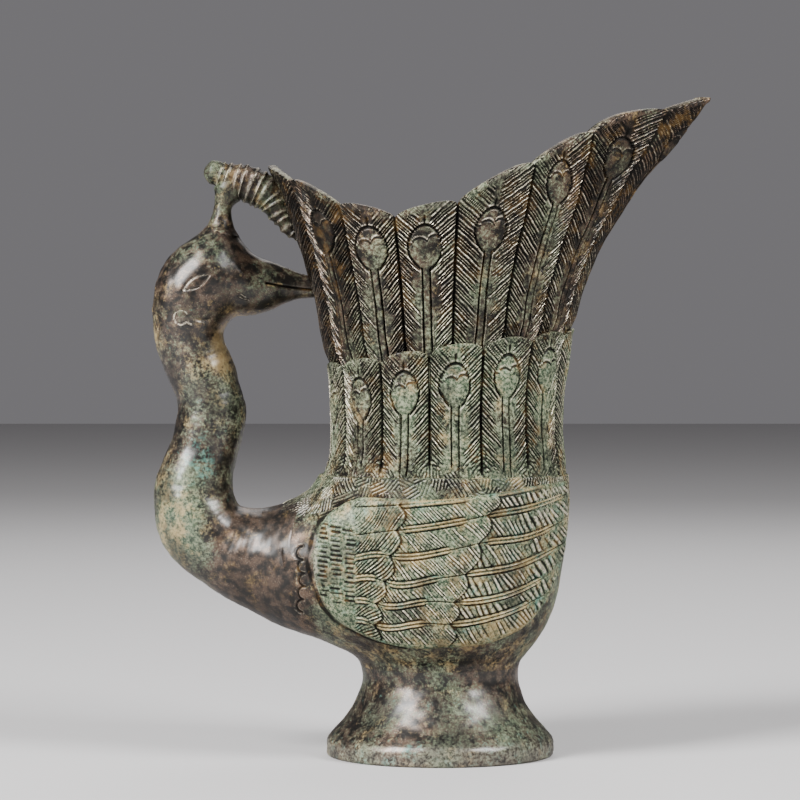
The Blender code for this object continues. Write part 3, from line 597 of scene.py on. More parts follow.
def chased_feathers(across, length, half_width, eye, feather, eye_width):
    """Relief of a tier in millimetres, and its mask.

    Each feather is crowned between deep edge grooves. A flat stem between two grooves climbs to an
    eye: a smooth drop with an outline, and a hood above a top of two lobes. Barbs rise from the stem
    to the edges at a steady pitch, each with its own depth and length, and go on above the eye beside a
    short groove.
    """
    side = across * half_width
    distance = np.abs(side)
    up = length - eye
    crown = CROWN * (1 - across ** 2)
    edge = (1 - np.abs(across)) * half_width

    power = np.where(up > 0, 2.0, 1.6)
    drop = (distance / eye_width) ** power + (np.abs(up) / EYE_HALF_HEIGHT) ** power
    drop = drop ** (1 / power)
    in_eye = 1 - ease(drop, 0.95, 1.03)
    below = ease(-up, EYE_HALF_HEIGHT * 0.80, EYE_HALF_HEIGHT * 0.92) * (1 - in_eye)
    on_stem = below * (1 - ease(distance, 1.20, 1.40))
    rib = below * (1 - ease(distance, 0.60, 0.80))
    stem_line = below * bump(distance - 0.92, 0.19)

    half_feather = feather * 2 + (across > 0)
    shift = RANDOM.uniform(0, 1, half_feather.max() + 1)
    strokes = (length - BARB_RISE * np.abs(across)) / BARB_PITCH + shift[half_feather]
    strokes = strokes + 0.2 * np.sin(strokes * 1.7 + 5 * shift[half_feather])
    strokes = strokes + 0.05 * np.sin(distance * 1.9 + strokes)
    stroke = np.clip(np.round(strokes).astype(int) + 20, 0, STROKES - 1)
    depths = RANDOM.uniform(0.55, 1.25, (half_feather.max() + 1, STROKES))[half_feather, stroke]
    starts = RANDOM.uniform(1.4, 4.0, (half_feather.max() + 1, STROKES))[half_feather, stroke]
    starts = starts * (1 - 0.65 * ease(up, 2, 7))
    barb = ridged(strokes) * depths * ease(distance - starts, -0.2, 0.5)

    groove = bump(distance, 0.24) * ease(up, 5.6, 6.2) * (1 - ease(up, 7.6, 8.4))
    plain = (1 - in_eye) * (1 - on_stem) * ease(edge, 0.15, 0.5)
    cut = plain * barb

    ring = bump(drop - 1.08, 0.055) * (1 - on_stem)
    burr = bump(drop - 1.21, 0.05) * (1 - on_stem) + 0.8 * below * bump(distance - 1.32, 0.15)
    lobe = 0.47 * eye_width
    lean = side - 0.25 * lobe
    arch = 0.8 * np.sqrt(np.clip(lobe ** 2 - (np.abs(lean) - lobe) ** 2, 0, None))
    arch = arch + 0.20 * EYE_HALF_HEIGHT + 0.55 * ease(lean, -0.3, 0.3)
    cap = bump(up - arch, 0.26) * in_eye
    hood = in_eye * ease(up - arch, 0.0, 0.3)
    hood_edge = bump(up - arch - 0.52, 0.24) * in_eye
    dome = in_eye * (EYE_STAND + EYE_DOME * (1 - np.clip(drop, 0, 1) ** 2)) - 0.20 * hood
    height = crown - EDGE_GROOVE * bump(edge, 0.30) * (1 - in_eye) + BARB_DEPTH * cut + dome
    height = height + STEM_RIB * rib - STEM_GROOVE * stem_line - EYE_GROOVE * ring + 0.14 * burr
    height = height - CAP_GROOVE * cap + 0.12 * hood_edge
    height = height - TIP_GROOVE * groove
    mask = 1.1 * cut - 0.12 * plain - 1.3 * bump(edge, 0.34) - 1.3 * ring + 0.9 * burr
    mask = mask - 1.3 * cap + 1.0 * hood_edge
    mask = mask - 1.2 * stem_line + 0.10 * rib - 1.2 * groove
    return height, np.clip(mask, -1, 1)


def tier(edges, drops, start, tip_height, rows, per_feather, eye_width, roll_height, lap, stand):
    """Outer grid of a tier from its start up to its rolled tips, with its masks, angles and heights.

    Rows follow the barbs: level at the start, rising to each side of a stem above it, and turning
    over to the scalloped tips. The face stands off the wall by an amount, and its relief begins at
    the lap, both given for an angle and height. The feather below the spout has half the relief.
    """
    angle, across, feather, number, half = feather_columns(edges, per_feather)
    bow = np.sqrt(np.clip(1 - across ** 2, 0, 1))
    tip_angle = spread(angle, tip_height(angle, bow))
    tips = tip_height(tip_angle, bow)
    valley = tip_height(tip_angle, 0 * bow)
    turn = np.minimum(valley - BARB_RISE - 0.5, start + 0.72 * (valley - start))
    way = np.linspace(0, 1, rows)[:, None]
    shear = BARB_RISE * np.abs(across) * ease(way, 0.0, 0.20)
    split = 0.74
    rising = start + (turn - start) * np.minimum(way / split, 1) + shear
    fanning = np.clip((way - split) / (1 - split), 0, 1)
    z = rising + (tips - rising) * fanning
    turned = spread(angle, z)
    offset = stand(angle, z)
    base = wall(turned, z, offset)
    steps = np.linalg.norm(np.diff(base, axis=0), axis=-1)
    length = np.vstack([0 * steps[:1], np.cumsum(steps, axis=0)])
    reach = np.linalg.norm(wall(turned + 0.01, z, offset) - wall(turned - 0.01, z, offset), axis=-1) / 0.02
    half_width = reach * half
    stems = np.arange(per_feather // 2, len(angle), per_feather)
    eye = (length[-1, stems])[feather] - np.array(drops)[number]
    feather = np.broadcast_to(feather, z.shape)
    height, mask = chased_feathers(across, length, half_width, eye, feather, eye_width)
    height = height * np.where(number == 0, 0.5, 1.0)
    shown = ease(z - lap(angle), -0.5, 0.5)
    rim = length[-1] - length
    roll = bump(rim - 1.6 * roll_height, 0.4 + 1.2 * roll_height)
    roll = roll * (0.25 + 0.75 * ease(bow, 0.45, 0.95)) * shown
    smooth = 1 - 1.7 * roll_height * roll
    height = height * shown * smooth + roll_height * roll
    mask = mask * shown * smooth + 0.7 * roll_height * roll
    foot = 1 - ease(z + 0.9 * np.sin(9 * turned) + 0.5 * np.sin(23 * turned), 70.5, 73.5)
    patches = scribbled(base)
    height = height + foot * (SCRIBBLE_DEPTH * patches - height)
    mask = mask + foot * (0.85 * patches - mask)
    height = height + uneven(base, 26.0, 0.25)
    outer = base + grid_normals(base) * height[..., None]
    return outer, mask, roll, angle, z


def upper_rim(angle, bow):
    """Height of the cup's rim: the line of its valleys with a bow on every feather."""
    folded = np.degrees(np.abs((angle + math.pi) % (2 * math.pi) - math.pi))
    return curve_through(folded, RIM_VALLEYS) + curve_through(folded, RIM_SCALLOPS) * bow


def lower_rim(angle, bow):
    """Height of the lower feathers' tips, which climb towards the spout."""
    climb = (1 + np.cos(angle)) / 2
    return LOWER_TIP_BACK + (LOWER_TIP_FRONT - LOWER_TIP_BACK) * climb - LOWER_SCALLOP * (1 - bow)


def inner_face(angle, top, bottom, rows, offset):
    """Rings down the inner face of a tier from one height to another, offset by its thickness at z."""
    z = top + (bottom - top) * np.linspace(0, 1, rows)[:, None]
    return wall(spread(angle, z), z, offset(z))


def over_the_rim(outer, inner, rows):
    """Rings over a rim from its outer to its inner edge, arched up between them."""
    t = np.linspace(0, 1, rows + 2)[1:-1, None, None]
    over = outer + (inner - outer) * t
    over[..., 2] += 0.2 * np.sin(math.pi * t[..., 0])
    return over


def tier_piece(name, parts, finish, slot, node, gold):
    """Join the rings of a tier, each given with its relief and its green, as one closed piece."""
    grid = np.concatenate([rings for rings, _, _ in parts])
    relief = np.concatenate([np.broadcast_to(relief, rings.shape[:2]) for rings, relief, _ in parts])
    green = np.concatenate([np.broadcast_to(green, rings.shape[:2]) for rings, _, green in parts])
    piece(
        name, grid, finish, slot, [node], True,
        relief=relief, green=green, gold=gold(grid), turquoise=0.0,
    )


def upper_thickness(z):
    """Offset of the upper tier's inner face at a height: behind the lap, and thinner at the rim."""
    return LAP_OFFSET - WALL + (WALL - RIM_WALL - LAP_OFFSET) * ease(z, 98, 130)


def upper_gold(grid):
    """Amount of earth, more towards the spout."""
    return 0.10 * ease(grid[..., 0], 10, 60)


def build_upper_feathers():
    """Upper tier with the scalloped rim and the spout, in bands from its lap to its tips."""
    start = LAP_START / MM
    outer, mask, roll, angle, z = tier(
        UPPER_EDGES, UPPER_EYE_DROPS, start, upper_rim, UPPER_ROWS, UPPER_COLUMNS, UPPER_EYE_WIDTH, 0.5,
        lambda angle: lower_rim(angle, 1.0) - 2.0,
        lambda angle, z: LAP_OFFSET * (1 - ease(z - lower_rim(angle, 1.0), -1.0, 4.0)),
    )
    # Painted shade: the spout is darkened through the relief mask and given less green. The back of the
    # tier is also darker and less green.
    spout = ease(outer[..., 0], 18, 50)
    flank = ease(-outer[..., 0], 17, 27)
    mask = mask - 0.36 * spout - 0.42 * flank
    green = 0.18 - 0.26 * spout - 0.20 * flank + 0.05 * roll
    last = len(outer) - 1
    for name, low, high in UPPER_BANDS:
        rows = slice(low, high + 1)
        parts = [(outer[rows], mask[rows], green[rows])]
        inner = inner_face(angle, z[high] - 0.15 * (high == last), z[low], 8, upper_thickness)
        if high == last:
            parts.append((over_the_rim(outer[-1], inner[0], 4), 0.35, 0.1))
        parts.append((inner, 0.1, 0.1))
        tier_piece(name, parts, UPPER_FINISH, "upper_feather_bronze", "upper_feathers", upper_gold)


def build_lower_feathers():
    """Lower tier, whose tips overlap the upper one."""
    start = LOWER_START / MM
    outer, mask, _, angle, z = tier(
        LOWER_EDGES, LOWER_EYE_DROPS, start, lower_rim, LOWER_ROWS, LOWER_COLUMNS, LOWER_EYE_WIDTH, 0.25,
        lambda angle: 66.0 + 0 * angle,
        lambda angle, z: 0.10 * ease(z, 72, 95) * (1 - 0.7 * np.clip(np.cos(angle), 0, 1)),
    )
    green = 0.2 * ease(outer[..., 0], -25, 10)
    lip = inner_face(angle, z[-1] - 0.15, 92.0 + 0 * angle, 4, lambda z: -0.6 + 0 * z)
    inner = inner_face(angle, 92.0 + 0 * angle, start + 0 * angle, 6, lambda z: -WALL + 0 * z)
    rim = over_the_rim(outer[-1], lip[0], 3)
    parts = [(outer, mask, green), (rim, 0.4, 0.05), (lip, 0.0, 0.0), (inner, 0.0, 0.0)]
    tier_piece(
        "lower_feathers_chased", parts, LOWER_FINISH, "lower_feather_bronze", "lower_feathers",
        lambda grid: 0.0 * grid[..., 0],
    )


# Body, neck and head


def path_points(path, radii, count):
    """Points and radii at even steps of length along a smooth curve through the path."""
    path = np.array(path, dtype=float)
    knots = np.concatenate([[0], np.cumsum(np.linalg.norm(np.diff(path, axis=0), axis=1))])
    place = np.linspace(0, knots[-1], count)
    x = curve_through(place, np.stack([knots, path[:, 0]], axis=-1))
    z = curve_through(place, np.stack([knots, path[:, 1]], axis=-1))
    radius = curve_through(place, np.stack([knots, np.array(radii, dtype=float)], axis=-1))
    return np.stack([x, 0 * x, z], axis=-1), radius, place


def tube_rings(centres, radii, sides, flat=1.0):
    """Rings round a path in the plane of the bird, square to it, narrowed across the plane by flat."""
    along = np.gradient(centres, axis=0)
    along = along / np.linalg.norm(along, axis=1, keepdims=True)
    out = np.stack([along[:, 2], 0 * along[:, 0], -along[:, 0]], axis=-1)
    turn = full_turn(sides)
    ring = np.cos(turn)[None, :, None] * out[:, None, :]
    ring = ring + flat * np.sin(turn)[None, :, None] * np.array([0.0, 1.0, 0.0])
    return centres[:, None, :] + radii[:, None, None] * ring


def neck_rings(rows, sides):
    """Rings through the neck's sections: an ellipse from the outer line to the inner line at each."""
    sections = np.array(NECK_SECTIONS, dtype=float).reshape(-1, 4)
    middle = (sections[:, :2] + sections[:, 2:]) / 2
    knots = np.concatenate([[0], np.cumsum(np.linalg.norm(np.diff(middle, axis=0), axis=1))])
    place = np.linspace(0, knots[-1], rows)
    lines = [curve_through(place, np.stack([knots, column], axis=-1)) for column in sections.T]
    zero = 0 * place
    outer = np.stack([lines[0], zero, lines[1]], axis=-1)
    inner = np.stack([lines[2], zero, lines[3]], axis=-1)
    centres = (outer + inner) / 2
    sizes = np.linalg.norm(outer - inner, axis=-1) / 2
    turn = full_turn(sides)
    ring = np.cos(turn)[None, :, None] * ((outer - inner) / 2)[:, None, :]
    across = NECK_ROUNDNESS * sizes[:, None] * np.sin(turn)[None, :]
    ring = ring + across[..., None] * np.array([0.0, 1.0, 0.0])
    return centres[:, None, :] + ring, centres, sizes


_, NECK_CENTRES, NECK_SIZES = neck_rings(60, 4)
STALK_CENTRES, STALK_SIZES, _ = path_points(STALK_PATH, STALK_RADII, 90)
PLUME_CENTRES, PLUME_SIZES, PLUME_PLACE = path_points(PLUME_PATH, PLUME_RADII, 300)


def belly_distance(points):
    """Distance out of the body, from the ratio of the plan radius to the plan at that height."""
    x, y, z = np.moveaxis(points, -1, 0)
    reach = np.where(x > 0, curve_through(z, FRONT_REACH), curve_through(z, BACK_REACH))
    ratio = np.sqrt((x / reach) ** 2 + (y / curve_through(z, HALF_WIDTH)) ** 2)
    radius = np.sqrt(x ** 2 + y ** 2)
    return radius * (1 - 1 / np.maximum(ratio, 0.05))


def tube_distance(points, centres, sizes):
    """Distance out of a tube: the least, over its path, of the distance less the radius."""
    flat = points.reshape(-1, 3)
    best = np.full(len(flat), 1e9)
    for centre, radius in zip(centres, sizes):
        best = np.minimum(best, np.linalg.norm(flat - centre, axis=1) - radius)
    return best.reshape(points.shape[:-1])


def neck_distance(points):
    """Distance out of the neck."""
    return tube_distance(points, NECK_CENTRES, NECK_SIZES)


def stalk_distance(points):
    """Distance out of the stalk of the crest."""
    return tube_distance(points, STALK_CENTRES, STALK_SIZES)


def head_distance(points):
    """Distance out of the head, from the ratio of the distance off its line to its section there."""
    x, y, z = np.moveaxis(points, -1, 0)
    top = curve_through(x, HEAD_TOP)
    bottom = curve_through(x, HEAD_BOTTOM)
    tall = np.maximum((top - bottom) / 2, 0.2)
    away = np.hypot(y, z - (top + bottom) / 2)
    ratio = np.hypot(y / (HEAD_NARROWNESS * tall), (z - (top + bottom) / 2) / tall)
    beyond = np.maximum(np.maximum(HEAD_TOP[0][0] - x, x - HEAD_TOP[-1][0]), 0)
    return away * (1 - 1 / np.maximum(ratio, 0.05)) + beyond


def plume_distance(points):
    """Distance out of the plume of the crest, taken as round."""
    return tube_distance(points, PLUME_CENTRES[::6], 0.9 * PLUME_SIZES[::6])


def soft_union(first, second, size):
    """Smooth least of two distances, rounded over the given size."""
    mixed = np.maximum(size - np.abs(first - second), 0) / size
    return np.minimum(first, second) - mixed ** 2 * size / 4


def fillet(points, normals, own, other, size):
    """Move points out along their normals on to the smooth union of two bodies, within the fillet."""
    moved = np.zeros(points.shape[:-1])
    for _ in range(4):
        here = points + normals * moved[..., None]
        moved = moved - soft_union(own(here), other(here), size)
        moved = np.clip(moved, 0, size * 0.3)
    return points + normals * moved[..., None]


def near_lines(points, lines):
    """Distance in the plane of the bird from points to the nearest of some polylines."""
    x, z = points[..., 0], points[..., 2]
    nearest = np.full(x.shape, 1e9)
    for line in lines:
        for (x0, z0), (x1, z1) in zip(line[:-1], line[1:]):
            dx, dz = x1 - x0, z1 - z0
            t = np.clip(((x - x0) * dx + (z - z0) * dz) / (dx * dx + dz * dz), 0, 1)
            nearest = np.minimum(nearest, np.hypot(x - x0 - t * dx, z - z0 - t * dz))
    return nearest


def arc(x, z, radius, start, end, steps=10):
    """Polyline along an arc, from one angle in degrees to another."""
    turn = np.radians(np.linspace(start, end, steps))
    return list(zip(x + radius * np.cos(turn), z + radius * np.sin(turn)))


def painted_wing_shade(points):
    """Painted shade: a dark line round the left end of a wing, where its plate steps off the body, as a
    mask.
    """
    low = [(1.075 * x, z) for x, z in WING_BOTTOM if x < -7]
    high = [(1.075 * x, z) for x, z in WING_TOP if x < -7]
    broken = 0.65 + 0.35 * np.sin(0.9 * points[..., 2] + 0.5 * points[..., 0])
    return broken * bump(near_lines(points, [low[::-1] + high]), 0.5) * ease(np.abs(points[..., 1]), 5, 9)


def scribbled(points):
    """Patches of short strokes, each patch turned its own way, as a wave from -1 to 1.

    The patches are cells of a skewed grid round the body, and each has its own angle, phase and depth.
    """
    round_body = np.arctan2(points[..., 1], points[..., 0]) * 30.0
    high = points[..., 2]
    column = np.floor((round_body + 0.6 * high) / 4.2).astype(int) % 64
    row = np.floor((high - 0.3 * round_body) / 3.4).astype(int) % 64
    turn = RANDOM.uniform(-1.3, 1.3, (64, 64))[column, row]
    phase = RANDOM.uniform(0, 1, (64, 64))[column, row]
    depth = RANDOM.uniform(0.35, 1.0, (64, 64))[column, row]
    return depth * ridged((round_body * np.cos(turn) + high * np.sin(turn)) / 0.86 + phase)


def breast_crescents():
    """Five crescents, one above the other, where the breast meets the wing."""
    return [arc(-33.2 - 0.35 * abs(row - 2), 51.6 - 3.3 * row, 1.7, 100, 260) for row in range(5)]


def crescent_mask(points):
    """Relief mask of the crescents: a dark line with a worn edge."""
    away = near_lines(points, breast_crescents())
    return 0.55 * bump(away - 0.50, 0.22) - bump(away, 0.28)


def shoulder(angle, z):
    """Outset of the body's shoulder over the lower tier that stands in it, less below the spout."""
    return (1.0 - 0.55 * np.clip(np.cos(angle), 0, 1)) * ease(z, 47, BELLY_TOP / MM)


def belly_face(angle, z):
    """Outer face of the body with its breast, scribbles and crescents, and its relief mask, which also
    holds painted shade round the wing.
    """
    base = wall(angle, z, shoulder(angle, z))
    normals = grid_normals(base)
    face = fillet(base, normals, belly_distance, neck_distance, BREAST_BLEND)
    scribble = scribbled(face) * ease(face[..., 2] + 0.10 * face[..., 0], 55.5, 58.5)
    crescents = bump(near_lines(face, breast_crescents()), 0.30)
    height = uneven(face, 30, 0.25) * ease(z, SEAT / MM, SEAT / MM + 5)
    height = height + SCRIBBLE_DEPTH * scribble - CRESCENT_DEPTH * crescents
    # Painted shade: a dark line round the left end of the wing, where its plate steps off the body.
    mask = 0.85 * scribble - 1.1 * painted_wing_shade(face) + crescent_mask(face)
    return face + normals * height[..., None], mask


def belly_piece(name, rings, mask, outer_rows, wrap_rows):
    """Join the rings of the body, whose outer rows have the mask, as one closed piece."""
    relief = np.zeros(rings.shape[:2])
    relief[outer_rows] = mask
    breast = 1 - ease(rings[..., 0], -36, -26)
    green = 0.25 * (1 - ease(-rings[..., 2], -40, -24)) - 0.6 * breast * (1 - ease(rings[..., 2], 54, 60))
    piece(
        name, rings, BELLY_FINISH, "belly_bronze", ["belly"], wrap_rows,
        relief=relief, green=green, gold=0.13 - 0.13 * breast, turquoise=0.0,
    )


def level_ring(angle, height, offset):
    """One ring of the body's surface at a height, as a grid of a single row."""
    return wall(angle, height + 0 * angle, offset)[None]


def build_belly():
    """Bowl of the body with the breast, and above it the scribbled shoulder with its rebate."""
    seat = SEAT / MM
    top = BELLY_TOP / MM
    split = 54.5
    angle = full_turn(440)
    z = np.linspace(seat, split, 150)[:, None]
    outer, mask = belly_face(angle, z)
    collar = RECESS_RADIUS * np.stack([np.cos(angle), np.sin(angle), 0 * angle], axis=-1)
    recess = [collar[None] + (0, 0, seat + RECESS_DEPTH), collar[None] + (0, 0, seat)]
    inner = [level_ring(angle, height, -WALL) for height in (split, 52, 44, 37, 32, 30.4)]
    belly_piece("belly_bowl", np.concatenate(recess + [outer] + inner), mask, slice(2, 152), False)

    angle = full_turn(800)
    z = np.linspace(split, top, 76)[:, None]
    outer, mask = belly_face(angle, z)
    rim = [level_ring(angle, top, 0.6 * shoulder(angle, top)) + (0, 0, 0.3)]
    rim += [level_ring(angle, height, 0.0) for height in (top, LOWER_START / MM - 0.3)]
    inner = [level_ring(angle, height, -WALL) for height in (65.2, 60, split)]
    belly_piece("belly_shoulder", np.concatenate([outer] + rim + inner), mask, slice(0, 76), True)


def face_lines(points):
    """Incised lines of the face, as their distance: almond eye, curl and strokes of the cheek."""
    start, end = np.array([-63.7, 116.0]), np.array([-56.8, 119.8])
    along = np.linspace(0, 1, 12)[:, None]
    square = np.array([-(end - start)[1], (end - start)[0]]) / np.linalg.norm(end - start)
    chord = start + (end - start) * along
    almond = [chord + bow * np.sin(math.pi * along) * square for bow in (1.35, -1.25)]
    curl = [arc(-64.2, 109.3, 1.75, 20, 320, 16)]
    curl += [[(-62.8, 108.1), (-61.6, 107.5)], [(-60.4, 108.6), (-58.4, 108.1)]]
    cheek = [[(-50.4, 115.6), (-48.4, 114.4)], [(-50.0, 114.4), (-47.6, 113.6)]]
    return near_lines(points, almond + curl + cheek)


def spot(points, x, z, width, height):
    """Soft oval patch in the plane of the bird: a bell of the distance from (x, z), scaled each way."""
    return bump(np.hypot((points[..., 0] - x) / width, (points[..., 2] - z) / height), 1.0)


def chin_fillet(rings, normals, own, other):
    """Fillet between neck and head, full under the chin and slight at the nape."""
    share = 0.3 + 0.7 * ease(rings[..., :1], -69, -62)
    return rings + share * (fillet(rings, normals, own, other, CHIN_BLEND) - rings)


def build_neck():
    """S of the neck, filleted into the breast below and into the head above."""
    rings, _, _ = neck_rings(330, 160)
    normals = outward_normals(rings)
    rings = fillet(rings, normals, neck_distance, belly_distance, BREAST_BLEND)
    rings = chin_fillet(rings, normals, neck_distance, head_distance)
    x, z = rings[..., 0], rings[..., 2]
    throat = spot(rings, -54.0, 101.0, 3.4, 9.0)
    nape = spot(rings, -70.0, 106.0, 4.5, 6.0)
    breast = spot(rings, -67.0, 57.0, 6.0, 12.0)
    bend = spot(rings, -59.0, 75.0, 5.0, 8.0)
    dark = ease(x, -59, -50) * (1 - ease(z, 58, 66))
    line = bump(face_lines(rings), 0.22)
    crescents = bump(near_lines(rings, breast_crescents()), 0.30)
    lift = uneven(rings, 24, 0.3) - FACE_LINE_DEPTH * line - CRESCENT_DEPTH * crescents
    # Incised face lines and crescents, and a dark line round the wing that is painted shade.
    marks_and_wing_shade = 1.3 * line + crescent_mask(rings) - 1.1 * painted_wing_shade(rings)
    piece(
        "neck_handle", rings + normals * lift[..., None], NECK_FINISH, "neck_bronze", ["neck"],
        relief=marks_and_wing_shade - 0.25 * dark,
        green=0.45 * breast + 0.2 * bend - 0.5 * dark - 0.3 * ease(z, 103, 107),
        gold=0.66 * throat + 0.30 * nape + 0.36 * breast,
        turquoise=0.42 * bend + 0.1 * breast - 0.1 * dark,
    )


def build_head():
    """Head with the beak: ellipses between its upper and lower line, with the mouth and face incised."""
    back, front = HEAD_TOP[0][0], HEAD_TOP[-1][0]
    way = np.concatenate([
        0.5 * (1 - np.cos(np.linspace(0, math.pi / 2, 120))), np.linspace(0.5, 1, 140)[1:],
    ])
    x = back + (front - back) * way
    top = curve_through(x, HEAD_TOP)
    bottom = curve_through(x, HEAD_BOTTOM)
    turn = full_turn(260)
    tall = ((top - bottom) / 2)[:, None]
    rings = np.stack([
        x[:, None] + 0 * turn,
        HEAD_NARROWNESS * tall * np.cos(turn),
        ((top + bottom) / 2)[:, None] + tall * np.sin(turn),
    ], axis=-1)
    normals = outward_normals(rings)
    rings = chin_fillet(rings, normals, head_distance, neck_distance)
    rings = fillet(rings, normals, head_distance, stalk_distance, CROWN_BLEND)
    line = bump(face_lines(rings), 0.17)
    mouth = bump(near_lines(rings, [MOUTH]), 0.3)
    lift = uneven(rings, 22, 0.25) - FACE_LINE_DEPTH * line - MOUTH_DEPTH * mouth
    rings = rings + normals * lift[..., None]
    nape = spot(rings, -70.5, 111.0, 4.5, 6.0)
    chin = spot(rings, -50.0, 110.2, 6.0, 1.8) + 2 * spot(rings, -41.0, 117.4, 2.2, 0.6)
    piece(
        "head_and_beak", rings, HEAD_FINISH, "head_bronze", ["head"],
        relief=0.8 * line - mouth, green=0.0, gold=0.42 * nape + 0.40 * chin, turquoise=0.0,
    )


def build_crest():
    """Stalk that flares into the crown, and the ribbed plume from its knob to the rim."""
    rings = tube_rings(STALK_CENTRES, STALK_SIZES, 80)
    outward = (rings - STALK_CENTRES[:, None]) / STALK_SIZES[:, None, None]
    rings = fillet(rings, outward, stalk_distance, head_distance, CROWN_BLEND)
    rings = fillet(rings, outward, stalk_distance, plume_distance, STALK_BLEND)
    rings = rings + outward * uneven(rings, 14, 0.3)[..., None]
    piece(
        "crest_stem", rings, CREST_FINISH, "crest_bronze", ["crest_stalk"],
        relief=0.0, green=0.15, gold=0.0, turquoise=0.0,
    )
    centres, sizes, place = PLUME_CENTRES, PLUME_SIZES, PLUME_PLACE
    ends = np.sqrt(np.clip(1 - (1 - np.clip(place / 2.2, 0, 1)) ** 2, 0.0004, 1))
    knob = 0.5 * bump(place - 1.9, 1.3)
    turns = place / 2.05 + 0.12 * np.sin(place * 1.3)
    rib = ridged(turns) * ease(place, 3.4, 4.4)
    rings = tube_rings(centres, (sizes + knob) * ends, 110, 0.8)
    outward = (rings - centres[:, None]) / np.maximum(sizes, 0.5)[:, None, None]
    lift = 0.20 * rib[:, None] + uneven(rings, 12, 0.3)
    rings = rings + outward * lift[..., None] * ends[:, None, None]
    piece(
        "crest_plume_ribbed", rings, CREST_FINISH, "crest_bronze", ["crest_plume"],
        relief=np.where(rib > 0, 0.60, 0.32)[:, None] * rib[:, None], green=0.05, gold=0.04, turquoise=0.0,
    )


# Wings


def wing_relief(x, z):
    """Relief of a wing in millimetres, its mask, and the mask of the shafts.

    Six shafts climb towards the tail. Along part of its length each is a pair of ridges, and between
    those a single groove. Slanting strokes fill the bands between the shafts, each with its own
    depth and length. The tiers overlap towards the tail, with a rounded tip on every band. Short level
    strokes cover the shoulder inside a smooth border.
    """
    heights = [curve_through(x, line) for line in WING_SHAFTS]
    heights = np.stack([heights[0] + 6.5] + heights + [heights[-1] - 5.5])
    band = np.clip(np.sum(z[None] < heights, axis=0) - 1, 0, 6)
    above = np.take_along_axis(heights, band[None], axis=0)[0]
    below = np.take_along_axis(heights, band[None] + 1, axis=0)[0]
    across = np.clip((above - z) / (above - below), 0, 1)
    lobe = 1.9 * np.sin(math.pi * across) - 0.4
    second = x - np.interp(z, *np.array(SECOND_TIER_EDGE).T) - lobe
    third = x - np.interp(z, *np.array(THIRD_TIER_EDGE).T) - lobe
    feathered = ease(x, -21.0, -19.5)
    height = 0 * x
    mask = 0 * x
    for past in (second, third):
        height = height - TIER_STEP * ease(past, -0.12, 0.12) * np.exp(-np.maximum(past, 0) / 9.0)
        mask = mask - 1.2 * bump(past - 0.22, 0.26) + 0.6 * bump(past + 0.35, 0.26)

    tier_number = (second > 0).astype(int) + (third > 0)
    pitch = np.array([0.68, 0.66, 1.02])[tier_number]
    slant = np.radians(np.array([-48.0, 50.0, 62.0]))[tier_number]
    phase = (x * np.sin(slant) + (z - below) * np.cos(slant)) / pitch
    phase = phase + 0.18 * np.sin(x * 0.8 + 2.3 * band)
    phase = phase + 0.5 * np.sin(0.31 * x + 0.4 * z + 1.9 * band) + 0.37 * band
    stroke = np.round(phase).astype(int) % 128
    row = band + 7 * tier_number
    depth = RANDOM.uniform(0.25, 1.35, (21, 128))[row, stroke]
    top = RANDOM.uniform(0.10, 0.42, (21, 128))[row, stroke]
    foot = RANDOM.uniform(0.70, 0.98, (21, 128))[row, stroke]
    drawn = ease(across, top - 0.08, top + 0.04) * (1 - ease(across, foot - 0.04, foot + 0.08))
    wave = np.where(tier_number == 0, ridged(phase), -ridged(phase + 0.5))
    hatch = feathered * wave * depth * (0.25 + 0.75 * drawn)

    ridge = 0 * x
    trough = 0 * x
    for line, pairs in zip(heights[1:-1], SHAFT_PAIRS):
        away = z - line
        paired = 0 * x
        for start, end in pairs:
            paired = paired + ease(x, start - 1.2, start + 0.8) * (1 - ease(x, end - 1.6, end + 0.4))
        away = away / (0.55 + 0.45 * paired)
        ridge = np.maximum(ridge, bump(np.abs(away) - 0.42, 0.22) * paired)
        trough = np.maximum(trough, bump(np.abs(away) - 0.90, 0.20) * paired)
        trough = np.maximum(trough, bump(away, 0.22) * (1 - 0.45 * paired))
    ridge = ridge * feathered
    trough = trough * feathered
    clear = 1 - np.clip(1.5 * np.maximum(ridge, trough), 0, 1)
    height = height + HATCH_DEPTH * hatch * clear + SHAFT_HEIGHT * ridge - SHAFT_GROOVE * trough
    worn = 0.45 + 0.25 * np.sin(0.55 * x + 1.7 * band) * np.sin(0.23 * x - 0.9 * band)
    mask = mask + np.where(hatch > 0, 0.85, 1.3) * hatch * clear + worn * ridge - 0.85 * trough

    column = np.clip(np.floor((x + 29.6) / 3.1), 0, 2).astype(int)
    level = (z + 0.10 * x) / 1.12 + 0.37 * column
    strip = np.round(level).astype(int) % 64
    from_left = x + 29.6 - 3.1 * column
    start = RANDOM.uniform(0.0, 1.0, (3, 64))[column, strip]
    end = RANDOM.uniform(2.3, 3.3, (3, 64))[column, strip]
    short = ease(from_left, start - 0.2, start + 0.3) * (1 - ease(from_left, end - 0.3, end + 0.2))
    short = short * RANDOM.uniform(0.3, 1.2, (3, 64))[column, strip]
    short = short * bump((level - np.round(level)) / 0.24, 1.0)
    covert = (1 - feathered) * ease(x, -29.8, -29.0)
    covert = covert * (1 - ease(np.abs(z - 49.5 + 0.3 * (x + 25)), 8.0, 10.5))
    height = height - COVERT_DEPTH * covert * short
    mask = mask - 1.1 * covert * short
    return height, np.clip(mask, -1, 1), ridge


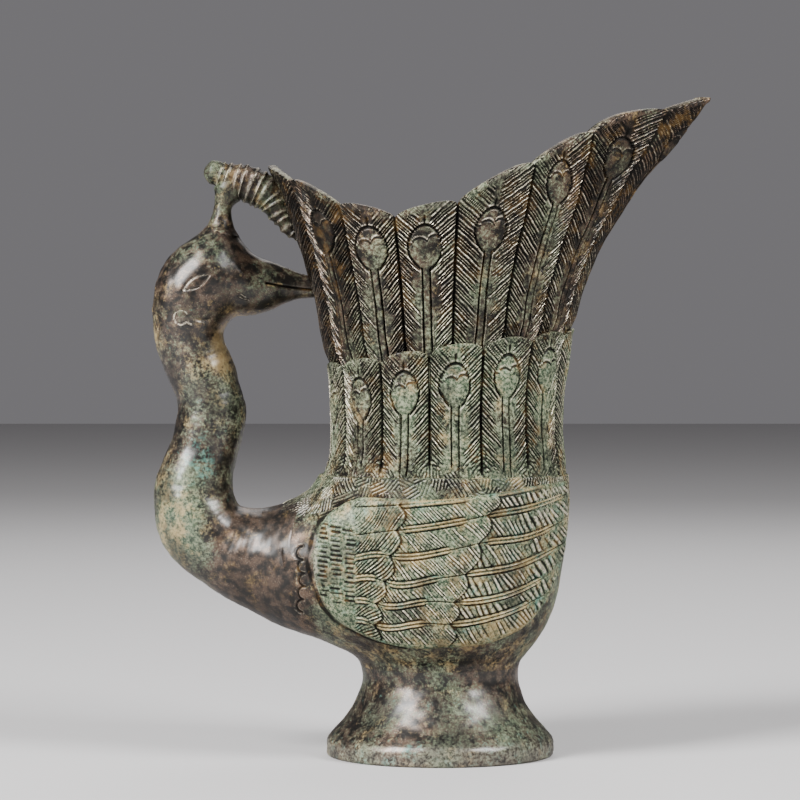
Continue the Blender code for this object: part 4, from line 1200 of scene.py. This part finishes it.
def build_wing(name, node, side):
    """One wing, as a plate on the flank: x steps evenly round the body, z from edge to edge.

    Each ring crosses the outer face from the lower edge to the upper and returns behind it. The face
    falls to its edge in a quarter round.
    """
    turn = np.linspace(WING_REAR / WING_ROUND, math.radians(WING_FRONT_TURN), WING_COLUMNS)
    x = np.where(turn > 0, WING_ROUND * np.sin(turn), WING_ROUND * turn)[:, None]
    back = np.linspace(1, 0, WING_BACK_ROWS + 2)[1:-1]
    way = np.concatenate([np.linspace(0, 1, WING_ROWS), back])[None, :]
    face = np.concatenate([np.ones(WING_ROWS), np.zeros(WING_BACK_ROWS)])[None, :]
    low = curve_through(x, WING_BOTTOM)
    high = curve_through(x, WING_TOP)
    z = low + (high - low) * way
    reach = np.where(x > 0, curve_through(z, FRONT_REACH), curve_through(z, BACK_REACH))
    angle = np.arccos(np.clip(x / reach, -0.995, 0.995))
    base = wall(angle, z, shoulder(angle, z))
    sideways = base[..., 1] / curve_through(z, HALF_WIDTH) ** 2
    normals = np.stack([base[..., 0] / reach ** 2, sideways, 0 * z], axis=-1)
    normals[..., 2] = -0.012 * np.clip((52 - z) / 20, -0.3, 1)
    normals = normals / np.linalg.norm(normals, axis=-1, keepdims=True)
    base = fillet(base, normals, belly_distance, neck_distance, BREAST_BLEND)
    height, mask, ridge = wing_relief(base[..., 0], z)
    inside = np.minimum(np.minimum(z - low, high - z), np.minimum(x + 30.5, 33.0 - x) * 1.5)
    edge = np.clip(inside / WING_EDGE, 0, 1)
    plate = WING_PLATE * (1 - 0.85 * ease(x, 12, 28)) + 0.5 * (1 - ease(x, -30, -20))
    rise = plate * np.sqrt(np.clip(1 - (1 - edge) ** 2, 0, 1))
    lift = np.where(face > 0, rise + (height + uneven(base, 22, 0.3)) * ease(edge, 0.3, 1.0), -0.9)
    rings = base + normals * lift[..., None]
    rings[..., 1] *= side
    mask = mask * ease(edge, 0.3, 1.0) * face
    # Worn teal border. Its lighter wear colour is also a painted highlight on the rounded rim that faces
    # the key light.
    border = (1 - ease(x, -29.5, -27.5)) * face
    lowest = (1 - ease(z, 33, 40)) * ease(x, 0, 15)
    piece(
        name, rings, WING_FINISH, "wing_bronze", [node],
        relief=mask + 0.45 * border, green=0.1 + 0 * z, gold=0.55 * ridge * face + 0.25 * lowest,
        turquoise=0.12 * ease(x, -5, 15) + 0.15 * border,
    )


# Foot


def build_foot():
    """Turned pedestal with a worn upright edge, hollow below."""
    radius = FOOT_RADIUS / MM
    heights = np.linspace(FOOT_FLARE[0][0], FOOT_FLARE[-1][0], 60)
    widths = curve_through(-heights, [(-height, width) for height, width in FOOT_FLARE])
    profile = [(COLLAR_RADIUS, 24.4), (COLLAR_RADIUS, 22.3), (19.75, 22.3)] + list(zip(widths, heights))
    for turn in np.linspace(math.pi / 4, math.pi / 2, 10):
        width = radius - FOOT_EDGE_ROUND + FOOT_EDGE_ROUND * math.sin(turn)
        profile.append((width, FOOT_EDGE_LEVEL + FOOT_EDGE_ROUND * math.cos(turn)))
    profile += [(radius, 2.2), (radius, 1.6)]
    for turn in np.linspace(0, math.pi / 2, 8):
        width = radius - FOOT_SOLE_ROUND + FOOT_SOLE_ROUND * math.cos(turn)
        profile.append((width, FOOT_SOLE_ROUND - FOOT_SOLE_ROUND * math.sin(turn)))
    profile += [(radius - 5.5, 0.0), (20.0, 4.5), (16.5, 9.8), (13.0, 15.0), (6.0, 15.0)]
    profile = np.array(profile)
    turn = full_turn(240)
    rings = np.stack([
        profile[:, :1] * np.cos(turn), profile[:, :1] * np.sin(turn), profile[:, 1:] + 0 * turn,
    ], axis=-1)
    outward = np.stack([np.cos(turn), np.sin(turn), 0 * turn], axis=-1)
    worn = uneven(rings, 24, 0.25) * ease(rings[..., 2], 0.5, 2.0) * ease(-rings[..., 2], -22, -20)
    rings = rings + outward * worn[..., None]
    low = ease(-rings[..., 2], -9, -3)
    piece(
        "foot_pedestal", rings, FOOT_FINISH, "foot_bronze", ["foot"],
        relief=0.45 * low, green=0.1 * low, gold=0.08 * low, turquoise=0.2 * low,
    )


# Stage


def build_stage():
    """Pale floor, soft lights from above left and right, and the camera square to the bird's flank."""
    bpy.ops.mesh.primitive_plane_add(size=6.0, location=(0, 0, 0))
    floor = bpy.context.active_object
    floor.name = "floor"
    material = bpy.data.materials.new("pale_floor")
    material.use_nodes = True
    shader = material.node_tree.nodes["Principled BSDF"]
    shader.inputs["Base Color"].default_value = (0.42, 0.41, 0.41, 1)
    shader.inputs["Roughness"].default_value = 0.75
    floor.data.materials.append(material)

    world = bpy.data.worlds.new("studio")
    world.use_nodes = True
    world.node_tree.nodes["Background"].inputs["Color"].default_value = (0.80, 0.78, 0.82, 1)
    world.node_tree.nodes["Background"].inputs["Strength"].default_value = 0.22
    bpy.context.scene.world = world
    lights = (
        ("key", (-0.76, -0.64, 0.76), 0.38, 0.80, 48.0),
        ("side", (0.80, -0.52, 0.78), 0.48, 0.38, 25.0),
        ("back", (0.10, 0.70, 0.70), 0.60, 0.60, 4.0),
    )
    for name, place, width, height, power in lights:
        data = bpy.data.lights.new(name, "AREA")
        data.shape = "RECTANGLE"
        data.size = width
        data.size_y = height
        data.energy = power
        light = bpy.data.objects.new(name, data)
        light.location = place
        aim = np.array((0, 0, 0.085)) - np.array(place)
        light.rotation_euler = (
            math.atan2(math.hypot(aim[0], aim[1]), -aim[2]), 0.0, math.atan2(aim[1], aim[0]) - math.pi / 2,
        )
        bpy.context.scene.collection.objects.link(light)

    data = bpy.data.cameras.new("camera")
    data.lens = 153.0
    data.sensor_width = 36.0
    camera = bpy.data.objects.new("camera", data)
    camera.location = (AXIS_X - 0.010, -0.850, 0.1062)
    camera.rotation_euler = (math.radians(90 - 1.18), 0, 0)
    bpy.context.scene.collection.objects.link(camera)
    bpy.context.scene.camera = camera


build_foot()
build_belly()
build_lower_feathers()
build_upper_feathers()
build_wing("right_wing_chased", "right_wing", -1)
build_wing("left_wing_chased", "left_wing", 1)
build_neck()
build_head()
build_crest()
build_stage()
